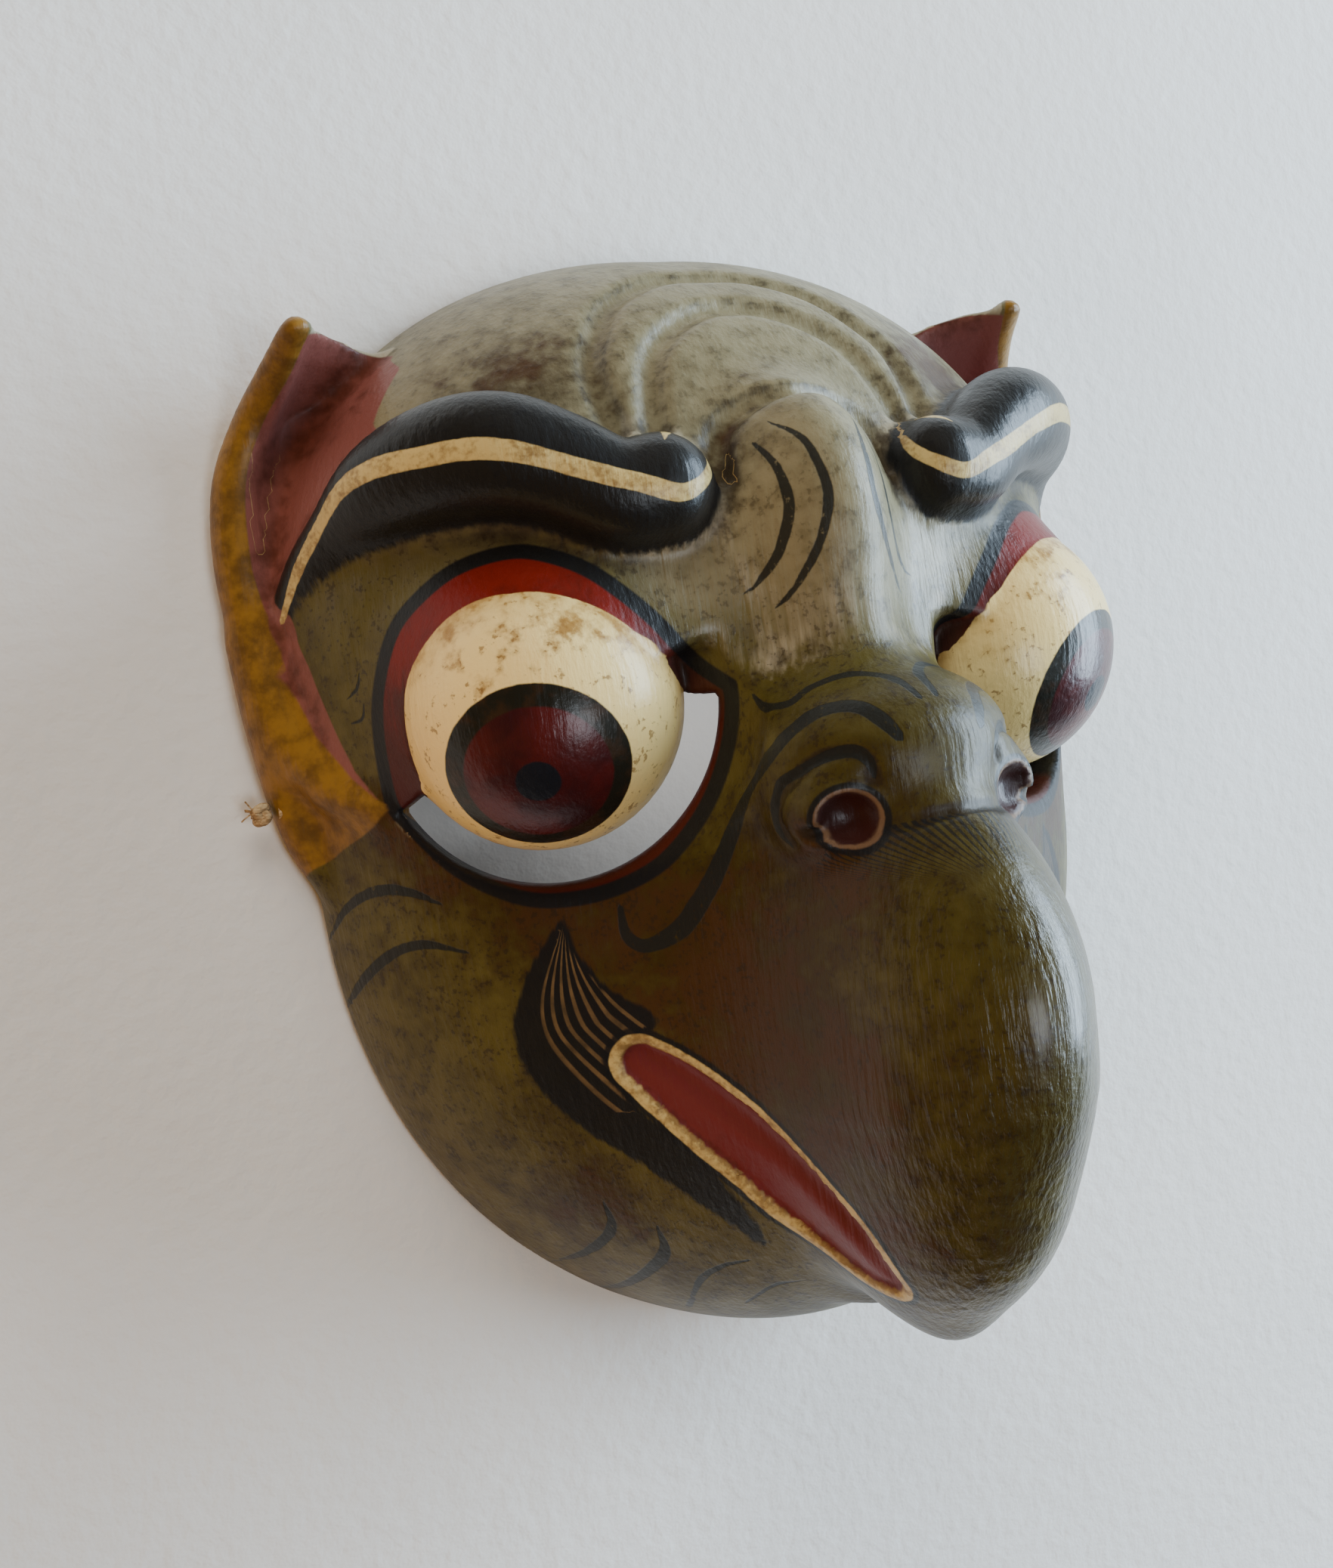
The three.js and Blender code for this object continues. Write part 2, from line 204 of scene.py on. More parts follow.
knots = {-1: make_knot(-1, "twine_knot_left"), 1: make_knot(1, "twine_knot_right")}
for side, node in ((-1, "knot_left"), (1, "knot_right")):
    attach(knots[side], "root")
    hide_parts(node)
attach(twine, "root")
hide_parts("twine")
print("knots:", [len(k.data.polygons) for k in knots.values()], "faces")

# %% [markdown]
# ## Rounded masses that run into each other
# A carver starts from big rounded lumps: skull, cheeks, beak. Each is an ellipsoid here, and a
# distance that is negative inside stands for it. Two distances join with a soft minimum, which
# leaves the fillet that a gouge leaves, and each lump keeps its own place and size.

# %% Distances, joins and cuts
def ellipsoid(p, centre, radii):
    q = (p - np.array(centre)) / radii
    far = np.linalg.norm(q, axis=1)
    slope = np.linalg.norm(q / radii, axis=1)
    return far * (far - 1) / np.maximum(slope, 1e-6)


def join(a, b, soft):
    h = np.maximum(soft - np.abs(a - b), 0) / soft
    return np.minimum(a, b) - h * h * soft / 4


def cut(a, b, soft):
    return -join(-a, b, soft)


FAR = 14.0  # a rod further off than this makes no difference


def rod(p, route, steps=5):
    """Distance to a rod along points x, y, z, radius."""
    s = smooth_route(route, steps)
    reach = s[:, 3].max() + FAR
    near = np.all((p > s[:, :3].min(0) - reach) & (p < s[:, :3].max(0) + reach), axis=1)
    found = np.full(len(p), FAR)
    if near.any():
        q = p[near]
        best = np.full(len(q), FAR)
        for a, b in zip(s[:-1], s[1:]):
            d = b[:3] - a[:3]
            t = np.clip((q - a[:3]) @ d / max(d @ d, 1e-9), 0, 1)
            best = np.minimum(best, np.linalg.norm(q - a[:3] - t[:, None] * d, axis=1)
                              - (a[3] + t * (b[3] - a[3])))
        found[near] = best
    return found


# %% [markdown]
# ## The head and its beak
# These are the sizes of the solid model: four masses for the skull, five for the nose and
# bridge, and two rods for the hooked upper beak and the lower one. The right half is given and
# the left half mirrors it, because |x| goes in.

# %% Skull, bridge, beak
SKULL = [
    ((0, 30, -5), (80, 70, 62), 0), ((10, 36, -6), (71.5, 63.5, 57), 8),
    ((0, -12, -8), (80.5, 93, 62), 14), ((0, -60, 14), (44, 42, 36), 14),
]
FACE = [
    ((0, -38, 38), (27, 46, 63.5), 24), ((0, 2, 58), (24, 15, 26), 7),
    ((0, 17, 46), (12, 22, 20), 8), ((0, 42, 48), (14, 23, 20.5), 9),
    ((15, -6, 70), (8, 8, 9.5), 3),
]
HOOK = [(0, -52, 62, 23.5), (0, -62, 61, 22), (0, -72, 60, 19), (0, -82, 60, 12.8),
        (0, -90, 61, 6.8), (0, -94.5, 61.5, 1.8)]
HOOK_TALL = 1.42
LOWER_BEAK = [(0, -62, 34, 17), (0, -78, 37, 11.5), (0, -88, 40, 6), (0, -92, 42, 2.6)]


def masses(p, parts):
    d = None
    for centre, radii, soft in parts:
        e = ellipsoid(p, centre, radii)
        d = e if d is None else join(d, e, soft)
    return d


def head(p):
    d = join(masses(p, SKULL + FACE), rod(p, LOWER_BEAK), 8)
    squat = [1, 1, 1 / HOOK_TALL]
    hook = [(x, y, z / HOOK_TALL, r) for x, y, z, r in HOOK]
    return join(d, rod(p * squat, hook), 5)


def slope_of(form, p, step=0.15):
    """Unit direction in which a form's distance grows."""
    g = np.stack([form(p + e) - form(p - e) for e in step * np.eye(3)], 1)
    return g / np.maximum(np.linalg.norm(g, axis=1), 1e-9)[:, None]


def settled(points, lift=0.0):
    """Points moved on to the head's skin, then raised off it by lift."""
    q = np.array([p[:3] for p in points], float)
    for _ in range(6):
        g = slope_of(head, q)
        q = q - g * head(q)[:, None]
    return q + g * lift


# %% [markdown]
# ## Brows, ears and eyes
# The brow is a rod that thickens over the eye and ends in a knob. The ear is a thin hollow leaf
# between its root and its rim, and the rim runs down the side as a band. The eye is a ball in a
# dished socket that looks outward and down. A crescent is cut right through below each ball,
# and the wearer looks out through it.

# %% Brow, ear, eye
BROW = [
    (27, 49, 53.5, 8.8), (34, 49, 52, 8.6), (42, 54, 49, 9), (50, 57.5, 45.5, 9.8), (57.5, 58, 40, 9.6),
    (65, 56, 32, 8.2), (70.5, 51.5, 22.5, 5.8), (75.6, 45, 14, 3.9), (79.5, 38.5, 8.5, 1.9),
]
EAR_RIM = [
    (73.5, 85, 22, 2), (76, 79.5, 13, 3), (79.3, 73, 6, 3.6), (83.2, 63, 3, 4.2), (84.6, 50, 3, 4.6),
    (83.5, 35, 3, 4.8), (81.5, 20, 6, 5), (77, 9, 13, 4), (72, 4, 20.5, 2),
]
EAR_TAIL = [(83.5, 35, 2, 4.8), (82.5, 15, 3, 5), (80, 0, 3, 4.2), (77, -9, 5, 2)]
EAR_ROOT = [
    (54, 82, 6), (60, 77, 4), (66, 69, 2), (71, 58, 1), (75, 44, 2), (76, 30, 4), (75, 16, 8),
    (72, 6, 14),
]
EAR_THICK, EAR_SAG, EAR_LOWEST = 4.4, 3, 2.6
EAR_FOOT, EAR_TOP, EAR_LEAN, EAR_CREST = 6, 81.5, 3, 3.4
EYE = np.array([45.6, 17.1, 35.6])
EYE_RADIUS = 23.9
LOOK_OUT = np.array([0.47, 0, 0.883])
LOOK_SIDE = np.array([0.883, 0, -0.47])
SOCKET = ((-2, -2, 14), (34.6, 32.3, 16))
SOCKET_TOP, SOCKET_EDGE = np.array([0.368, 0.93, 0]), 4
LID = ((0, 2.6, -7.8), (28.2, 28.2, 28.2))
SLIT_IN, SLIT_OUT, SLIT_BACK = 24.0, 29.4, 12
SLIT_FROM, SLIT_TO = np.radians(-176), np.radians(-28)


def to_eye(p):
    """Points as seen from the eye: across, up and out."""
    q = p - EYE
    return np.stack([q @ LOOK_SIDE, q[:, 1], q @ LOOK_OUT], 1)


def ear_section(y):
    """The ear's root and rim at each height, as x and z."""
    lines = [smooth_route(np.array(s)[:, :3], 6)[::-1].T for s in (EAR_ROOT, EAR_RIM)]
    return [np.stack([np.interp(y, up, x), np.interp(y, up, z)], 1) for x, up, z in lines]


def ear_top_edge(t):
    """Height of the leaf's top, from 0 at the root to 1 at the rim."""
    return EAR_TOP + EAR_LEAN * t + EAR_CREST * np.sin(np.pi * t)


def ear_leaf(p):
    """The hollow plate of the ear, by its cross-section at each height."""
    y, q = p[:, 1], p[:, [0, 2]]
    a, b = ear_section(y)
    chord = b - a
    t = np.clip(np.sum((q - a) * chord, 1) / np.maximum(np.sum(chord**2, 1), 1e-6), 0, 1)
    on = a + t[:, None] * chord
    on[:, 1] = np.maximum(on[:, 1] - EAR_SAG * np.sin(np.pi * t), EAR_LOWEST)
    flat = np.linalg.norm(q - on, axis=1) - EAR_THICK / 2
    return -join(-flat, -np.maximum(y - ear_top_edge(t), EAR_FOOT - y), 1.5)


def slit(p):
    u, v, w = to_eye(p).T
    r = np.hypot(u, v)
    ring = np.maximum(r - SLIT_OUT, SLIT_IN - r)
    middle, half = (SLIT_FROM + SLIT_TO) / 2, (SLIT_TO - SLIT_FROM) / 2
    turn = (np.arctan2(v, u) - middle + np.pi) % (2 * np.pi) - np.pi
    return np.maximum(np.maximum(ring, (np.abs(turn) - half) * r), -w - SLIT_BACK)


def eyeball(p):
    return np.linalg.norm(p - EYE, axis=1) - EYE_RADIUS


# %% [markdown]
# ## Folds, grooves and mouth
# Arched folds stand on the forehead between grooves. A fine groove parts the soft nose from the
# horny beak, and a curl is cut above each nostril. Each is a rod cut softly out of the skin. The
# mouth is a shallow flat band, with a rounder groove under its upper edge.

# %% Grooves cut into the head
FOLDS = [
    [(30.5, 60, 48), (29.5, 71, 39), (25.5, 77.8, 35), (19.5, 83.8, 30), (9, 88, 26), (0, 89, 25.5)],
    [(24.5, 57.5, 50), (22, 67.5, 45.8), (18, 74, 41), (11.5, 78.5, 37.8), (5, 80.8, 35.5), (0, 81.3, 35)],
    [(17, 50, 55), (14.5, 57.5, 53), (9, 62.5, 54), (0, 64.5, 56)],
]
NOSE_LINE = [(22, -8.5, 74), (14, -9, 80.5), (7, -8.5, 84), (0, -8.5, 85.5)]
NOSTRIL_CURL = [(11.5, -1.5, 80), (12.5, 1.5, 80.5), (15, 3, 78.5), (18, 2.5, 75), (20.5, 0.5, 72.5),
                (22.5, -2.5, 70), (23, -6, 69), (22, -10, 70.5)]
NOSTRIL = ((16.5, -7.3, 79.5), (5.2, 4.2, 4.5))
MOUTH = [
    (40.7, -43.8, 43, 3.6), (36.9, -48, 45.9, 4.8), (31.9, -54.6, 50.4, 5.9), (27, -61.4, 55, 6.5),
    (22.3, -68.9, 59.4, 7.7), (19.2, -74.2, 63.4, 7.1), (17.3, -78.1, 66.3, 4.9), (15, -81.7, 68.8, 2.3),
]
MOUTH_UP = [
    (-0.52, 0.6, 0.6), (-0.47, 0.6, 0.64), (-0.38, 0.6, 0.7), (-0.24, 0.59, 0.77), (-0.01, 0.54, 0.84),
    (0.07, 0.53, 0.85), (0.09, 0.54, 0.84), (0.1, 0.55, 0.83),
]
MOUTH_DEEP, LIP_UP, LIP_RADIUS = 1, 0.5, 0.36
FOLD_RADIUS, FOLD_LIFT, FOLD_SOFT = 2, 0.2, 2.2
FINE_RADIUS, FINE_SOFT = 0.9, 1.2
folds = [[(*q, FOLD_RADIUS) for q in settled(fold, FOLD_LIFT)] for fold in FOLDS]
fine_grooves = [[(*q, FINE_RADIUS) for q in settled(line)] for line in (NOSE_LINE, NOSTRIL_CURL)]
lip = [(*(np.array(q) + LIP_UP * r * np.array(up)), LIP_RADIUS * r)
       for (*q, r), up in zip(MOUTH, MOUTH_UP)]
WALL = 8
BEAK_HOLLOW = ((0, -28, 25), (20, 40, 46))


def right_half(p):
    """The points, with those of the left half mirrored to the right."""
    return np.column_stack([np.abs(p[:, 0]), p[:, 1:]])


def outside(p):
    """The carved outside of the mask."""
    p = right_half(p)
    skin = head(p)
    d = skin
    for fold in folds:
        d = cut(d, rod(p, fold), FOLD_SOFT)
    for groove in fine_grooves:
        d = cut(d, rod(p, groove), FINE_SOFT)
    d = np.maximum(d, -np.maximum(rod(p, MOUTH), -(skin + MOUTH_DEEP)))
    d = cut(d, rod(p, lip), 2)
    eye = to_eye(p)
    d = join(d, ellipsoid(eye, *LID), 5)
    d = cut(d, cut(ellipsoid(eye, *SOCKET), -(eye @ SOCKET_TOP + SOCKET_EDGE), 4), 2)
    d = join(d, rod(p, BROW), 4)
    ear = join(join(rod(p, EAR_RIM), rod(p, EAR_TAIL), 4), ear_leaf(p), 3)
    d = join(d, ear, 4)
    d = cut(d, ellipsoid(p, *NOSTRIL), 1)
    return np.minimum(cut(d, slit(p), 1.2), eyeball(p))


def hollow(p):
    """The inside, gouged out to an even wall, deeper in the beak and the eyes."""
    p = right_half(p)
    d = join(masses(p, SKULL) + WALL, ellipsoid(p, *BEAK_HOLLOW), 10)
    return np.minimum(d, eyeball(p) + WALL)


def carving(p):
    return cut(cut(outside(p), hollow(p), 3), p[:, 2], 2.5)


# %% [markdown]
# ## From distances to a mesh
# A grid is laid over half the head. Only the blocks of the grid that lie near the skin are
# worked out in full, and the other half mirrors them. Surface nets then put one vertex in each
# cell that the skin crosses, and a last step along the slope sets it on the true surface.

# %% Grid and surface nets
CELL = 1.05
BLOCK = 5
HALF_LOW, HALF_HIGH = np.array([0, -108, -2.3]), np.array([92, 105, 105])


def sampled(form, low, high, cell, block):
    """The form's distance on a grid, in full only near its skin."""
    size = np.ceil((high - low) / cell / block).astype(int)
    blocks = np.indices(size).reshape(3, -1).T
    rough = form(low + (blocks + 0.5) * block * cell)
    values = np.repeat(np.repeat(np.repeat(rough.reshape(size), block, 0), block, 1), block, 2)
    near = blocks[np.abs(rough) < 0.87 * block * cell * 1.25 + 1]
    inner = np.indices((block,) * 3).reshape(3, -1).T
    for part in np.array_split(near, max(1, len(near) // 1500)):
        index = (part[:, None] * block + inner).reshape(-1, 3)
        values[tuple(index.T)] = form(low + index * cell)
    return values


def surface_nets(values, low, cell):
    """One vertex a crossed cell and one quad a crossed edge."""
    inside = values < 0
    count = 0
    for corner in np.ndindex(2, 2, 2):
        window = tuple(slice(c, n - 1 + c) for c, n in zip(corner, inside.shape))
        count = count + inside[window].astype(np.int8)
    crossed = (count > 0) & (count < 8)
    number = np.full(crossed.shape, -1)
    number[crossed] = np.arange(crossed.sum())
    cells = np.argwhere(crossed)
    total, hits = np.zeros((len(cells), 3)), np.zeros(len(cells))
    quads = []
    unit = np.eye(3, dtype=int)
    for step, a, b in zip(unit, np.roll(unit, -1, 0), np.roll(unit, -2, 0)):
        for corner in (0 * a, a, b, a + b):
            v0, v1 = (values[tuple((cells + corner + s).T)] for s in (0 * step, step))
            hit = (v0 < 0) != (v1 < 0)
            t = np.where(hit, v0 / np.where(hit, v0 - v1, 1), 0)
            total += hit[:, None] * (corner + t[:, None] * step)
            hits += hit
        start = np.ones(3, int) - step
        window = tuple(slice(s, n - 1) for s, n in zip(start, inside.shape))
        ahead = tuple(slice(s + e, n - 1 + e) for s, n, e in zip(start, inside.shape, step))
        edges = np.argwhere(inside[window] != inside[ahead]) + start
        leaving = inside[tuple(edges.T)]
        ring = np.stack([number[tuple((edges - u).T)] for u in (a + b, b, 0 * a, a)], 1)
        quads.append(np.where(leaving[:, None], ring, ring[:, ::-1]))
    return low + cell * (cells + total / hits[:, None]), np.vstack(quads)


half = sampled(carving, HALF_LOW, HALF_HIGH, CELL, BLOCK)
whole = np.concatenate([half[:0:-1], half])
skin_points, skin_quads = surface_nets(whole, HALF_LOW - [CELL * (len(half) - 1), 0, 0], CELL)
print("grid", whole.shape, "gives", len(skin_points), "vertices and", len(skin_quads), "quads")


# %% Settle the vertices and measure what each belongs to
def moved_to_skin(form, points):
    g = slope_of(form, points)
    return points - np.clip(form(points), -0.6 * CELL, 0.6 * CELL)[:, None] * g


skin_points = moved_to_skin(carving, skin_points)
skin_points[:, 2] = np.maximum(skin_points[:, 2], 0)
nearest_other = np.minimum(np.abs(outside(skin_points)), skin_points[:, 2] + 0.02)
in_hollow = np.abs(hollow(skin_points)) < nearest_other
quad_in_hollow = in_hollow[skin_quads].sum(1) >= 3
print("hollow:", quad_in_hollow.sum(), "quads, outside:", (~quad_in_hollow).sum())


def part_of_skin(name, chosen):
    """A piece from some of the quads, and the points it uses."""
    used, faces = np.unique(skin_quads[chosen], return_inverse=True)
    return mesh_piece(name, skin_points[used], faces.reshape(-1, 4)), skin_points[used]


mask_face, face_points = part_of_skin("mask_face", ~quad_in_hollow)
mask_hollow, _ = part_of_skin("mask_hollow", quad_in_hollow)
for piece in (mask_face, mask_hollow):
    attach(piece, "root")
    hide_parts("mask")

# %% [markdown]
# ## Lines of paint, by measure
# The painter's lines are kept as a few points with a half width, as a brush would lay them. At
# each vertex the mesh stores two numbers: how far it lies to the left or right of the nearest
# line, and how wide that line is there. Both change evenly, so a 1 mm mesh carries a crisp line
# thinner than its quads. Neighbouring lines go into separate layers, or the sign would flip
# half way between them and draw a false line.

# %% Brush strokes on the right half, as x, y, z and half width
INK = [
    [(11, 54.5, 57.5, 0.3), (9.5, 49.5, 61.5, 0.7), (9.5, 43, 63.5, 1), (11, 36.5, 61.5, 0.9),
     (13.5, 32.5, 59, 0.6), (16.5, 30, 57, 0.1)],
    [(8, 57.5, 58, 0.2), (5.5, 53.5, 64, 0.6), (4.5, 47, 67, 0.8), (4.5, 42.5, 67.5, 0.85),
     (6.5, 36, 66, 0.8), (9.5, 30, 62, 0.6), (12.5, 27, 59.5, 0.1)],
    [(18.5, 14, 58.5, 0.3), (18.5, 11.5, 62.5, 0.8), (16.5, 11.5, 67, 0.9), (13, 13.5, 67.5, 0.9),
     (8, 14.5, 69.5, 0.9), (5, 14.5, 72, 0.9), (2.5, 13, 75.5, 0.9), (1.5, 9.5, 80.5, 0.5)],
    [(7.5, 4, 82.5, 0.9), (9, 7, 80.5, 1.3), (11, 9.5, 76.5, 1.3), (15.5, 9.5, 73, 1.3),
     (19.5, 7, 70.5, 1.2), (22.5, 3.5, 67.5, 1.2), (23, -1, 62, 1.2), (25, -6, 59, 1.3),
     (28.5, -13.5, 56.5, 1.5), (31.5, -18.5, 54, 1.7), (34, -22, 51.5, 1.6), (38.5, -24, 48, 1.2),
     (41, -22, 46, 1), (41.5, -17, 46, 0.4)],
    [(11, -1.5, 79.5, 0.3), (11.5, 1, 79.5, 1), (13.5, 3, 78.5, 1.1), (16.5, 2.5, 75.5, 1),
     (19.5, 1, 72.5, 0.9), (21.5, -0.5, 69.5, 0.9), (22.5, -4, 68, 0.8), (22.5, -7.5, 68, 0.6),
     (21, -11, 70, 0.1)],
    [(80, -18, 2, 0.3), (77, -12, 10.5, 0.8), (73, -9.5, 18.5, 0.95), (69, -10.5, 24, 0.8),
     (65.5, -13, 28, 0.2)],
    [(79, -31, 1, 0.6), (76, -24.5, 11, 0.95), (72.5, -20.5, 18.5, 0.95), (68.5, -19.5, 24.5, 0.8),
     (63, -21.5, 30, 0.2)],
    [(49, -86.5, 2, 0.3), (48, -83.5, 9, 0.5), (45.5, -79, 20, 0.9), (44, -74, 27, 1),
     (45.5, -68.5, 29, 0.2)],
    [(39.5, -92, 4, 0.4), (39, -89.5, 13, 0.8), (37.5, -83.5, 26, 1.1), (36.5, -79, 31.5, 1.1),
     (38.5, -74, 34, 0.2)],
    [(28.5, -94.5, 19.5, 0.8), (30.5, -86.5, 30.5, 0.75), (29, -83, 37, 0.6), (25.5, -81.5, 41.5, 0.3)],
    [(22.5, -93, 30.5, 0.3), (20.5, -88, 39, 0.5), (16.5, -87, 43.5, 0.1)],
    [(72.5, 27, 25, 0.1), (73, 24.5, 24, 0.35), (74.5, 23, 21.5, 0.1)],
    [(72.5, 22, 25, 0.1), (73, 19.5, 24, 0.35), (74.5, 19, 21.5, 0.1)],
]
BROW_GOLD = [
    (81, 38, 11, 0.5), (78, 47, 19, 1.2), (74, 55, 31, 1.5), (70, 57.5, 39.5, 1.6), (64, 57.5, 47.5, 1.7),
    (57, 57.2, 53, 1.75), (50, 55.2, 56.5, 1.7), (40.5, 51.3, 59.3, 1.6), (33, 48.5, 61.2, 1.5),
    (27.5, 46.5, 62, 1.4), (22.5, 48.5, 60.8, 1.2), (19.5, 52, 57.5, 1), (20, 56.5, 54, 0.6),
    (23.5, 59.5, 51, 0.1),
]
TEARDROP = [(23.5, 59, 52.5, 0.1), (25.5, 57.6, 56, 0.9), (27.8, 55.4, 59.5, 0.05)]
OFF_BRUSH, END_TAPER = 9.0, 1.2


def brushed(p, normal, strokes):
    """Signed distance across the nearest stroke, and that stroke's half width there."""
    off, half_width = np.full(len(p), OFF_BRUSH), np.full(len(p), -OFF_BRUSH)
    margin = np.full(len(p), -99.0)
    for stroke in strokes:
        s = smooth_route(stroke, 6)
        low, high = s[:, :3].min(0) - OFF_BRUSH, s[:, :3].max(0) + OFF_BRUSH
        near = np.flatnonzero(np.all((p > low) & (p < high), axis=1))
        q, n = p[near], normal[near]
        best, at, width = np.full(len(q), 99.0), np.zeros(len(q)), np.zeros(len(q))
        for i, (a, b) in enumerate(zip(s[:-1], s[1:])):
            d = b[:3] - a[:3]
            length = max(np.linalg.norm(d), 1e-6)
            t = (q - a[:3]) @ d / length**2
            first, last = i == 0, i == len(s) - 2
            past = length * (np.clip(-t, 0, None) * first + np.clip(t - 1, 0, None) * last)
            t = np.clip(t, 0, 1)
            gap = q - a[:3] - t[:, None] * d
            far = np.linalg.norm(gap, axis=1)
            across = np.cross(d, n)
            across = np.sum(across * gap, 1) / np.maximum(np.linalg.norm(across, axis=1), 1e-6)
            side = np.where(past > 0, across, np.where(across < 0, -far, far))
            closer = far < best
            best = np.where(closer, far, best)
            at = np.where(closer, side, at)
            width = np.where(closer, a[3] + t * (b[3] - a[3]) - END_TAPER * past, width)
        better = width - best > margin[near]
        chosen = near[better]
        off[chosen], half_width[chosen] = at[better], width[better]
        margin[chosen] = (width - best)[better]
    return off, half_width


def stored(piece, name, values):
    """Keeps one number a vertex on a piece's mesh."""
    attribute = piece.data.attributes.new(name, "FLOAT", "POINT")
    attribute.data.foreach_set("value", np.asarray(values, np.float32))


folded = right_half(face_points)
facing = slope_of(outside, folded)
layers = {"ink": INK[::2], "ink_too": INK[1::2], "gold": [BROW_GOLD], "tear": [TEARDROP]}
for name, strokes in layers.items():
    off, half_width = brushed(folded, facing, strokes)
    stored(mask_face, name + "_off", off)
    stored(mask_face, name + "_half", half_width)
    print(name, "covers", int((half_width > np.abs(off)).sum()), "vertices")

# %% [markdown]
# ## Fields of paint
# Larger fields have an outline instead of a middle line: the almond round the eye, the ear's
# red hollow, the black leaf by the mouth. Their signed distance is stored, negative inside, so
# the material can draw both the field and a border of any width along it.

# %% Outlines of painted fields
EYE_OUTLINE = [
    (19.5, 16.5, 56), (24, 21.5, 53), (30.5, 28.5, 54.5), (35, 33.5, 53.5), (39.5, 38, 51.5),
    (44, 41, 49), (49, 43, 46), (54, 43, 42.5), (59.5, 41.5, 39), (64.5, 38, 35), (68, 34, 31.5),
    (70.5, 28, 29), (72, 20.5, 26.5), (72, 12, 24.5), (71.5, 4, 24.5), (69, -0.5, 26), (64.5, -7.5, 30),
    (59, -12.5, 34.5), (53, -15.5, 39), (45.5, -16, 43.5), (39, -14.5, 47.5), (33.5, -11.5, 51),
    (28, -6, 53.5), (24, 0, 55), (21, 7, 56), (20, 13, 57), (19.5, 16.5, 56),
]
LID_EDGE = [
    (-176, 84.5), (-165, 180), (-40, 180), (-30, 76), (-20, 65.5), (-6.6, 61.2), (6.6, 60.1),
    (16.9, 59.6), (40, 54.4), (62.8, 51.5), (90, 48), (113.4, 48.6), (125, 49.9), (138.4, 52.7),
    (153, 57), (164.4, 64.7), (175.2, 73.2), (184, 84.5),
]
BAND_OUTLINE = [
    (40, 88), (26, 84), (20.5, 78.5), (13.5, 70.5), (10.5, 61), (9.5, 48), (9.5, 38), (9.5, 29), (14, 18),
    (19.5, 10), (25, 4.2), (22, 1.5), (12.5, -2), (4, -6), (-20, -8), (-20, 88),
]
RED_REACH = [
    (36, 9), (40, 12), (47, 20), (54.5, 30), (60.5, 32), (68.5, 21), (74.5, 19), (79, 17.5), (81.5, 13),
    (84, 9),
]
RED_STRIP = [
    (9.5, 42), (13, 39), (13, 34), (15, 29.5), (17, 22), (18.5, 16), (20, 11), (24, 5), (14, 12), (5, 30),
]
LEAF_OUTLINE = [
    (49.5, -17.5), (53, -22), (56.5, -29), (58, -36.5), (55.5, -45), (49, -54), (40, -62.5), (31, -72),
    (24, -78), (33, -62), (42, -50), (42.5, -41), (38, -36.5), (44.5, -30), (48.5, -23),
]
LOOK = np.array([0.4025, -0.4986, 0.7676])


def outline_distance(points, outline):
    """Signed distance in a plane to a closed outline, negative inside."""
    outline = np.array(outline, float)
    best, within = np.full(len(points), 1e3), np.zeros(len(points), bool)
    for a, b in zip(outline, np.roll(outline, -1, 0)):
        d = b - a
        t = np.clip((points - a) @ d / max(d @ d, 1e-9), 0, 1)
        best = np.minimum(best, np.linalg.norm(points - a - t[:, None] * d, axis=1))
        level = (a[1] > points[:, 1]) != (b[1] > points[:, 1])
        across = a[0] + (points[:, 1] - a[1]) * d[0] / (d[1] if d[1] else 1e-9)
        within ^= level & (points[:, 0] < across)
    return np.where(within, -best, best)


def rounded(points, steps=5):
    return smooth_route(np.array(points)[:, :2], steps)


def ear_fields(p):
    """How deep a point lies in the ear's red hollow, in its ochre band and in its worn top."""
    x, y, z = p.T
    a, b = ear_section(y)
    chord = b - a
    length = np.linalg.norm(chord, axis=1)
    chord /= np.maximum(length, 1e-6)[:, None]
    run = np.sum((p[:, [0, 2]] - a) * chord, 1)
    top = ear_top_edge(np.clip(run / np.maximum(length, 1), 0, 1))
    rim_from = np.interp(y, [26, 48], [2.6, 0.2])
    front = (z - a[:, 1]) * chord[:, 0] - (x - a[:, 0]) * chord[:, 1]
    side = p[:, [2, 1]]
    band, strip = outline_distance(side, BAND_OUTLINE), outline_distance(side, RED_STRIP)
    reach = np.interp(y, *np.array(RED_REACH, float).T) - z
    off_leaf, off_rim = ear_leaf(p), rod(p, EAR_RIM)

    def all_of(*depths):
        return np.minimum.reduce(depths)

    red = [all_of(length - run - rim_from, run + 1.5, 4.4 - off_leaf, front + 2.2, y - 36, top - 0.8 - y),
           all_of(-strip, x - 66, band + 0.6),
           all_of(reach, x - 52, y - 37, 83 - y, off_rim - 0.5, rod(p, BROW) - 1)]
    on_rim = all_of(1.6 - np.minimum(off_rim, rod(p, EAR_TAIL)), run - length + rim_from, y - 30)
    on_side = all_of(-band, x - 62, 34 - y)
    worn_top = all_of(y - top + 0.8, 2.4 - off_leaf, length - run - 1)
    return np.maximum.reduce(red), np.maximum(on_rim, on_side), worn_top


